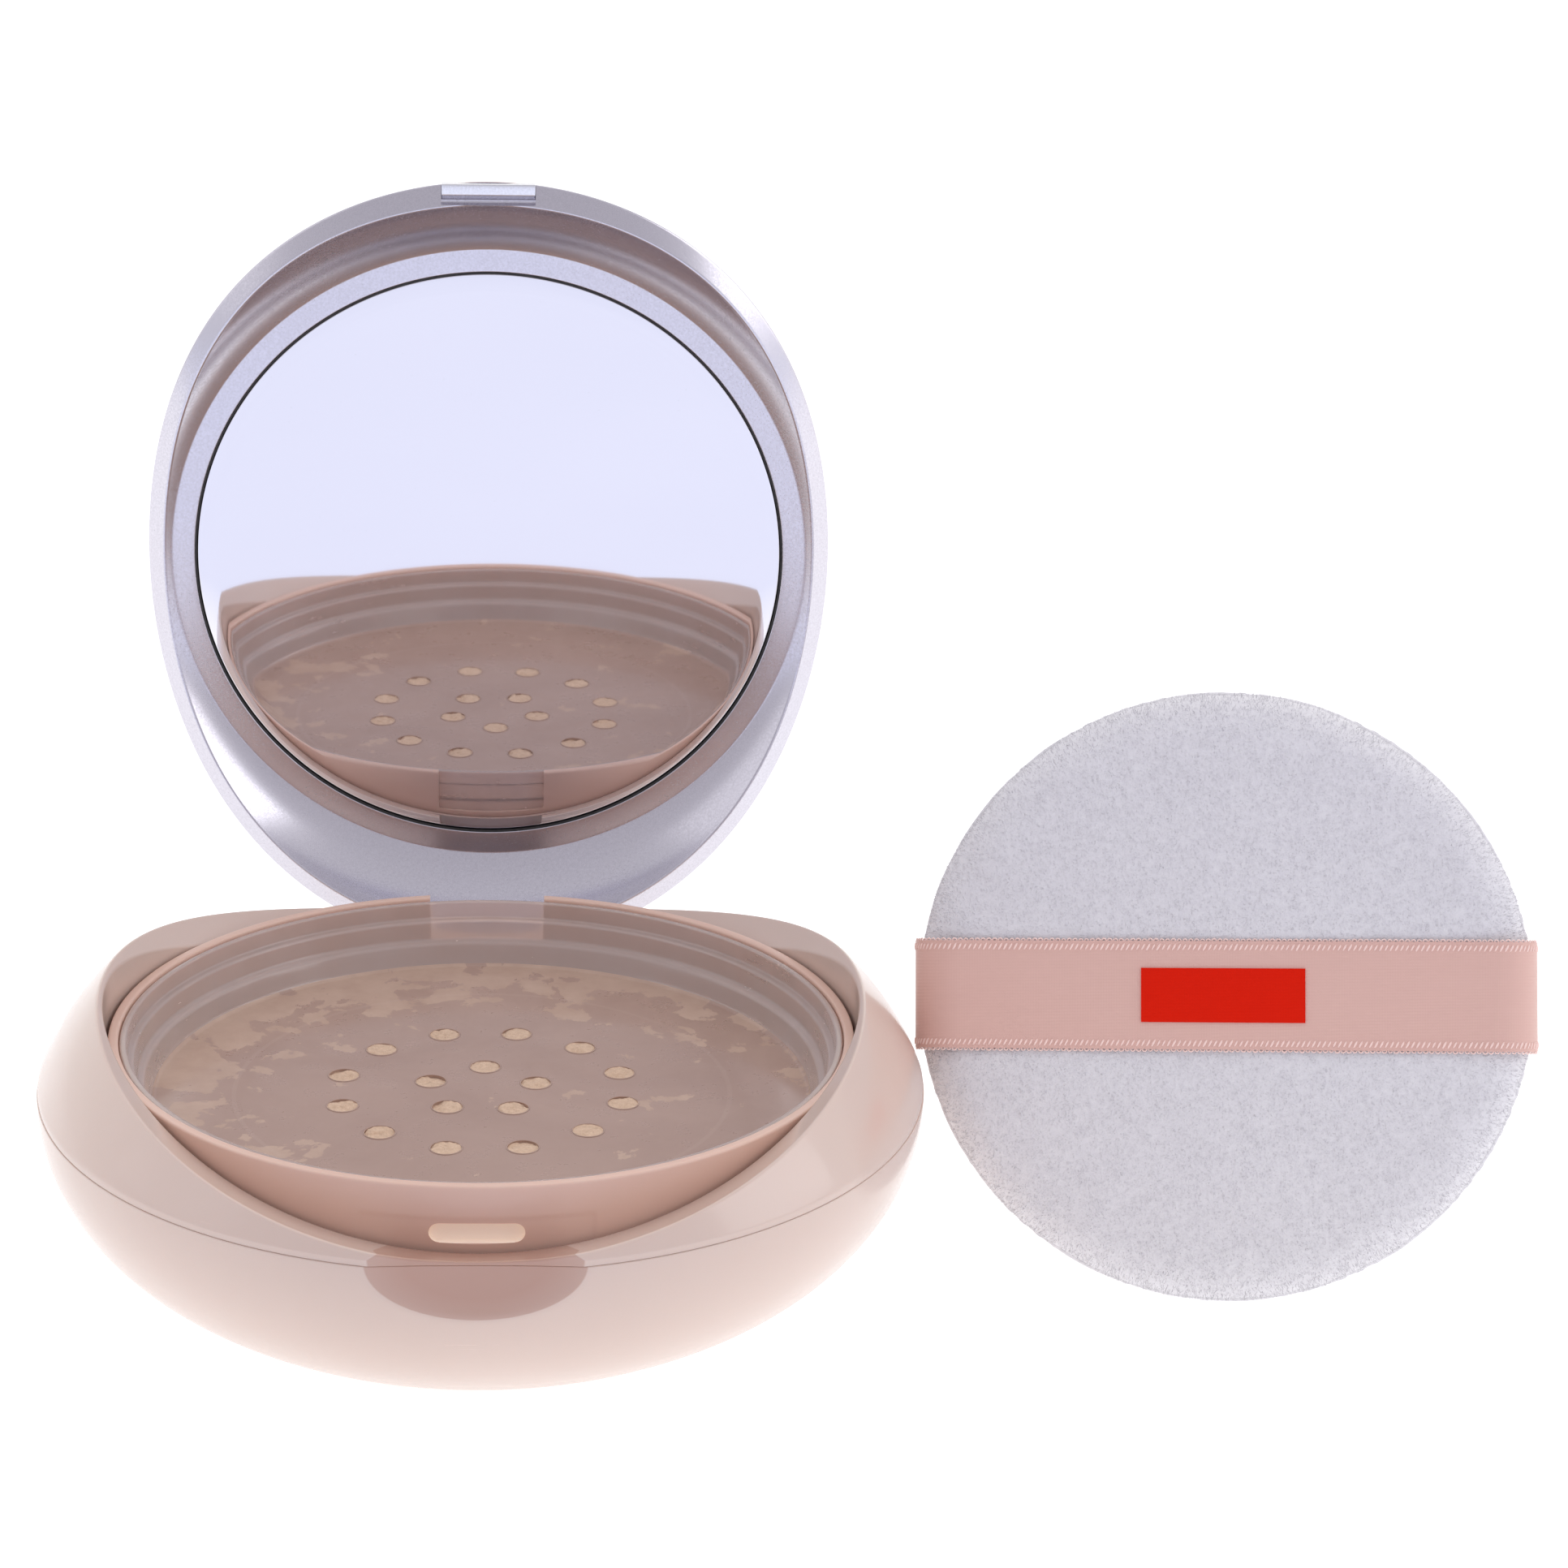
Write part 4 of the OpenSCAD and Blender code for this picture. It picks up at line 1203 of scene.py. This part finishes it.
def makeRibbon(c):
    path = ribbonPath(c)
    n = len(path)
    across = np.linspace(-c["wide"] / 2, c["wide"] / 2, 26)
    verts, uvs = [], []
    for out in (c["thick"], 0.0):
        for i in range(n):
            for y in across:
                verts.append(ribbonPoint(path, i, y, out))
                uvs.append((i / (n - 1), (y + c["wide"] / 2) / c["wide"]))
    lookup = {tuple(round(a * mm, 6) for a in v): uv for v, uv in zip(verts, uvs)}
    ribbon = layered("ribbon", verts, n, len(across),
                     lambda co: lookup.get(tuple(round(a, 6) for a in co), (0.5, 0.5)))
    return ribbon, np.hypot(*np.diff(path, axis=0).T).sum()


def edgeLine(name, c, insets, out):
    # bare lines that the picots and stitches follow
    path = ribbonPath(c)
    verts, edges = [], []
    for y in insets:
        start = len(verts)
        for i in range(len(path)):
            verts.append(ribbonPoint(path, i, y, out))
        edges += [(start + i, start + i + 1) for i in range(len(path) - 1)]
    mesh = bpy.data.meshes.new(name)
    mesh.from_pydata([tuple(v) for v in np.asarray(verts) * mm], edges, [])
    return placed(name, mesh)


edgeInputs = treeInputs(["Pitch", "Size", "Wire", "Slant"], ["Seed"])


def alongEdge(d, shape):
    # instances of one shape at an even pitch, each turned to the line
    curve = d.add("GeometryNodeMeshToCurve", Mesh=d.given(0))
    points = d.add("GeometryNodeCurveToPoints", {"mode": "LENGTH"}, Curve=curve, Length=d.given("Pitch")).node
    heading = d.add("FunctionNodeAlignRotationToVector", {"axis": "X"}, Vector=points.outputs["Tangent"])
    size = d.jitter(0.88, 1.12, i8=d.given("Seed"))
    return d.close(d.add("GeometryNodeInstanceOnPoints", Points=points.outputs[0], Instance=shape, Rotation=heading,
                         Scale=size))


def picotTree():
    d = NodeDraft("picot loops", edgeInputs)
    path = d.add("GeometryNodeCurvePrimitiveCircle", Resolution=9, Radius=d.given("Size"))
    wire = d.add("GeometryNodeCurvePrimitiveCircle", Resolution=4, Radius=d.given("Wire"))
    return alongEdge(d, d.add("GeometryNodeCurveToMesh", Curve=path, Profile_Curve=wire))


def stitchTree():
    d = NodeDraft("ribbon edge stitches", edgeInputs)
    bead = d.add("GeometryNodeMeshIcoSphere", Radius=1.0, Subdivisions=1)
    size = d.add("ShaderNodeCombineXYZ", X=d.given("Size"), Y=d.given("Wire"), Z=d.given("Wire"))
    turn = d.add("ShaderNodeCombineXYZ", Z=d.add("ShaderNodeMath", {"operation": "RADIANS"}, i0=d.given("Slant")))
    return alongEdge(d, d.add("GeometryNodeTransform", Geometry=bead, Rotation=turn, Scale=size))


def makeTrim(c):
    half = c["wide"] / 2
    edges = edgeLine("edges", c, (-half, half), c["thick"] / 2)
    picots = grow("picots", edges, picotTree(), {"Pitch": c["Picot Pitch"] * mm, "Size": c["Picot Size"] * mm,
                                                 "Wire": 0.085 * mm, "Slant": 0.0, "Seed": 2,
                                                 "Material": ribbonThread})
    bpy.data.objects.remove(edges)
    lines = edgeLine("lines", c, (-half + c["inset"], half - c["inset"]), c["thick"] + 0.01)
    stitches = grow("ribbonStitches", lines, stitchTree(),
                    {"Pitch": c["Stitch Pitch"] * mm, "Size": c["Stitch Length"] * mm,
                     "Wire": c["Stitch Width"] * mm, "Slant": c["Slant"], "Seed": 4, "Material": ribbonThread})
    bpy.data.objects.remove(lines)
    return picots, stitches


patchShape = {"long": 15.9, "wide": 5.3, "thick": 0.14, "clear": 0.004, "weave": (65.0, 10.6)}


def makePatch(c, r):
    # woven patch that lies on the ribbon and follows its slack
    xs = np.linspace(-c["long"] / 2, c["long"] / 2, 54)
    ys = np.linspace(-c["wide"] / 2, c["wide"] / 2, 20)
    height = r["edge"] + r["lift"] + r["thick"]
    verts = []
    for t in (c["thick"], 0.0):
        for x in xs:
            for y in ys:
                bow = ribbonWave(x, y) * min(1.0, (ribbonHalf - abs(x)) / 4)
                verts.append((x, y, height + bow + t + c["clear"]))
    long, wide = c["weave"]  # the threads' scale, the same as the ribbon's
    return layered("ribbonPatch", verts, len(xs), len(ys),
                   lambda co: ((co.x / mm + c["long"] / 2) / long, (co.y / mm + wide / 2) / wide))


ribbon, ribbonLength = makeRibbon(ribbonShape)
picots, ribbonStitches = makeTrim(ribbonShape)
ribbonPatch = makePatch(patchShape, ribbonShape)
print("ribbon made,", round(float(ribbonLength), 2), "mm long")

for piece, material, slotName, nodes in ((puffBody, velourWhite, "puff_velour",
                                          ["puff_core", "puff_front", "puff_back"]),
                                         (velourPile, velourWhite, "puff_velour", []),
                                         (puffSeam, velourWhite, "puff_seam", ["puff_seam"]),
                                         (seamStitches, velourWhite, "puff_seam", []),
                                         (ribbon, ribbonSatin, "ribbon_satin", ["puff_ribbon"]),
                                         (picots, ribbonThread, "ribbon_satin", []),
                                         (ribbonStitches, ribbonThread, "ribbon_satin", []),
                                         (ribbonPatch, patchRed, "patch_red", ["ribbon_patch"])):
    piece.data.transform(standPuff)
    wear(piece, material, "puff", nodes)
print("puff dressed")

# floor, lights and the paper-white surroundings
stageSetup = {"floor": 6.0, "world": 1.0, "front": (0.58, 0.565, 0.61), "middle": (0.70, 0.69, 0.735),
              "behind": (1.1, 1.1, 1.1), "glow": 0.74, "near": (0.58, 0.63, 0.84), "nearFrom": -0.055,
              "nearTo": -0.10, "key": 0.25, "fill": 1.15, "top": 1.0}


def makeStage(c):
    n = 24
    xs = np.linspace(-c["floor"] / 2, c["floor"] / 2, n + 1)
    verts = [(x / mm, y / mm, 0) for x in xs for y in xs]
    corners = [i * (n + 1) + k for i in range(n) for k in range(n)]
    faces = [(a, a + n + 1, a + n + 2, a + 1) for a in corners]
    floor = newPiece("floor", verts, faces, recalc=False)
    f = Finish("pale paper floor")
    f.fixed(Specular_IOR_Level=0.2, Emission_Strength=c["glow"])
    away = f.add("ShaderNodeSeparateXYZ", Vector=f.place.outputs["Object"]).outputs[1]
    glow = f.ramp(f.span(away, 0.0, 1.0, c["nearTo"], c["nearFrom"]), [(0.0, c["near"]), (1.0, (1, 1, 1))])
    tone = f.noise(12, 3, 0.5)
    colour = f.mix(f.span(tone, 0, 1), (0.54, 0.54, 0.545), (0.56, 0.56, 0.562))
    f.wire(Base_Color=colour, Emission_Color=glow, Roughness=f.span(f.noise(300, 3, 0.6), 0.75, 0.9))
    floor.data.materials.append(f.mat)
    world = bpy.data.worlds.new("studio")
    scene.world = world
    world.use_nodes = True
    tree = world.node_tree
    back = tree.nodes["Background"]
    back.inputs["Strength"].default_value = c["world"]
    place = tree.nodes.new("ShaderNodeTexCoord")
    split = addNode(tree, "ShaderNodeSeparateXYZ", None, {"Vector": place.outputs["Generated"]})
    span = addNode(tree, "ShaderNodeMapRange", None, {"Value": split.outputs[1], "From_Min": -1.0, "From_Max": 1.0})
    ramp = addNode(tree, "ShaderNodeValToRGB", None, {"Fac": span.outputs[0]})
    stops = ramp.color_ramp.elements
    stops.new(0.5)
    for stop, at, tone in zip(stops, (0.1, 0.5, 0.75), ("front", "middle", "behind")):
        stop.position, stop.color = at, (*c[tone], 1)
    tree.links.new(ramp.outputs[0], back.inputs["Color"])


def softbox(name, place, aim, size, watts, colour=(1, 1, 1), shows=True):
    data = bpy.data.lights.new(name, "AREA")
    data.shape, data.size, data.size_y, data.energy, data.color = "RECTANGLE", size[0], size[1], watts, colour
    obj = placed(name, data)
    obj.location = place
    obj.visible_glossy = shows  # the top one stays out of the polished film
    obj.rotation_euler = (Vector(aim) - Vector(place)).to_track_quat("-Z", "Y").to_euler()


makeStage(stageSetup)
softbox("topBox", (0.03, 0.05, 0.75), (0.03, 0.02, 0), (0.8, 0.6), stageSetup["top"], (0.97, 0.98, 1.0), False)
softbox("leftBox", (-0.65, -0.1, 0.35), (0, 0, 0.03), (0.5, 0.5), stageSetup["key"])
softbox("rightBox", (0.75, -0.15, 0.35), (0.05, 0, 0.03), (0.5, 0.5), stageSetup["fill"])
scene.view_settings.view_transform = "Standard"
print("stage set")
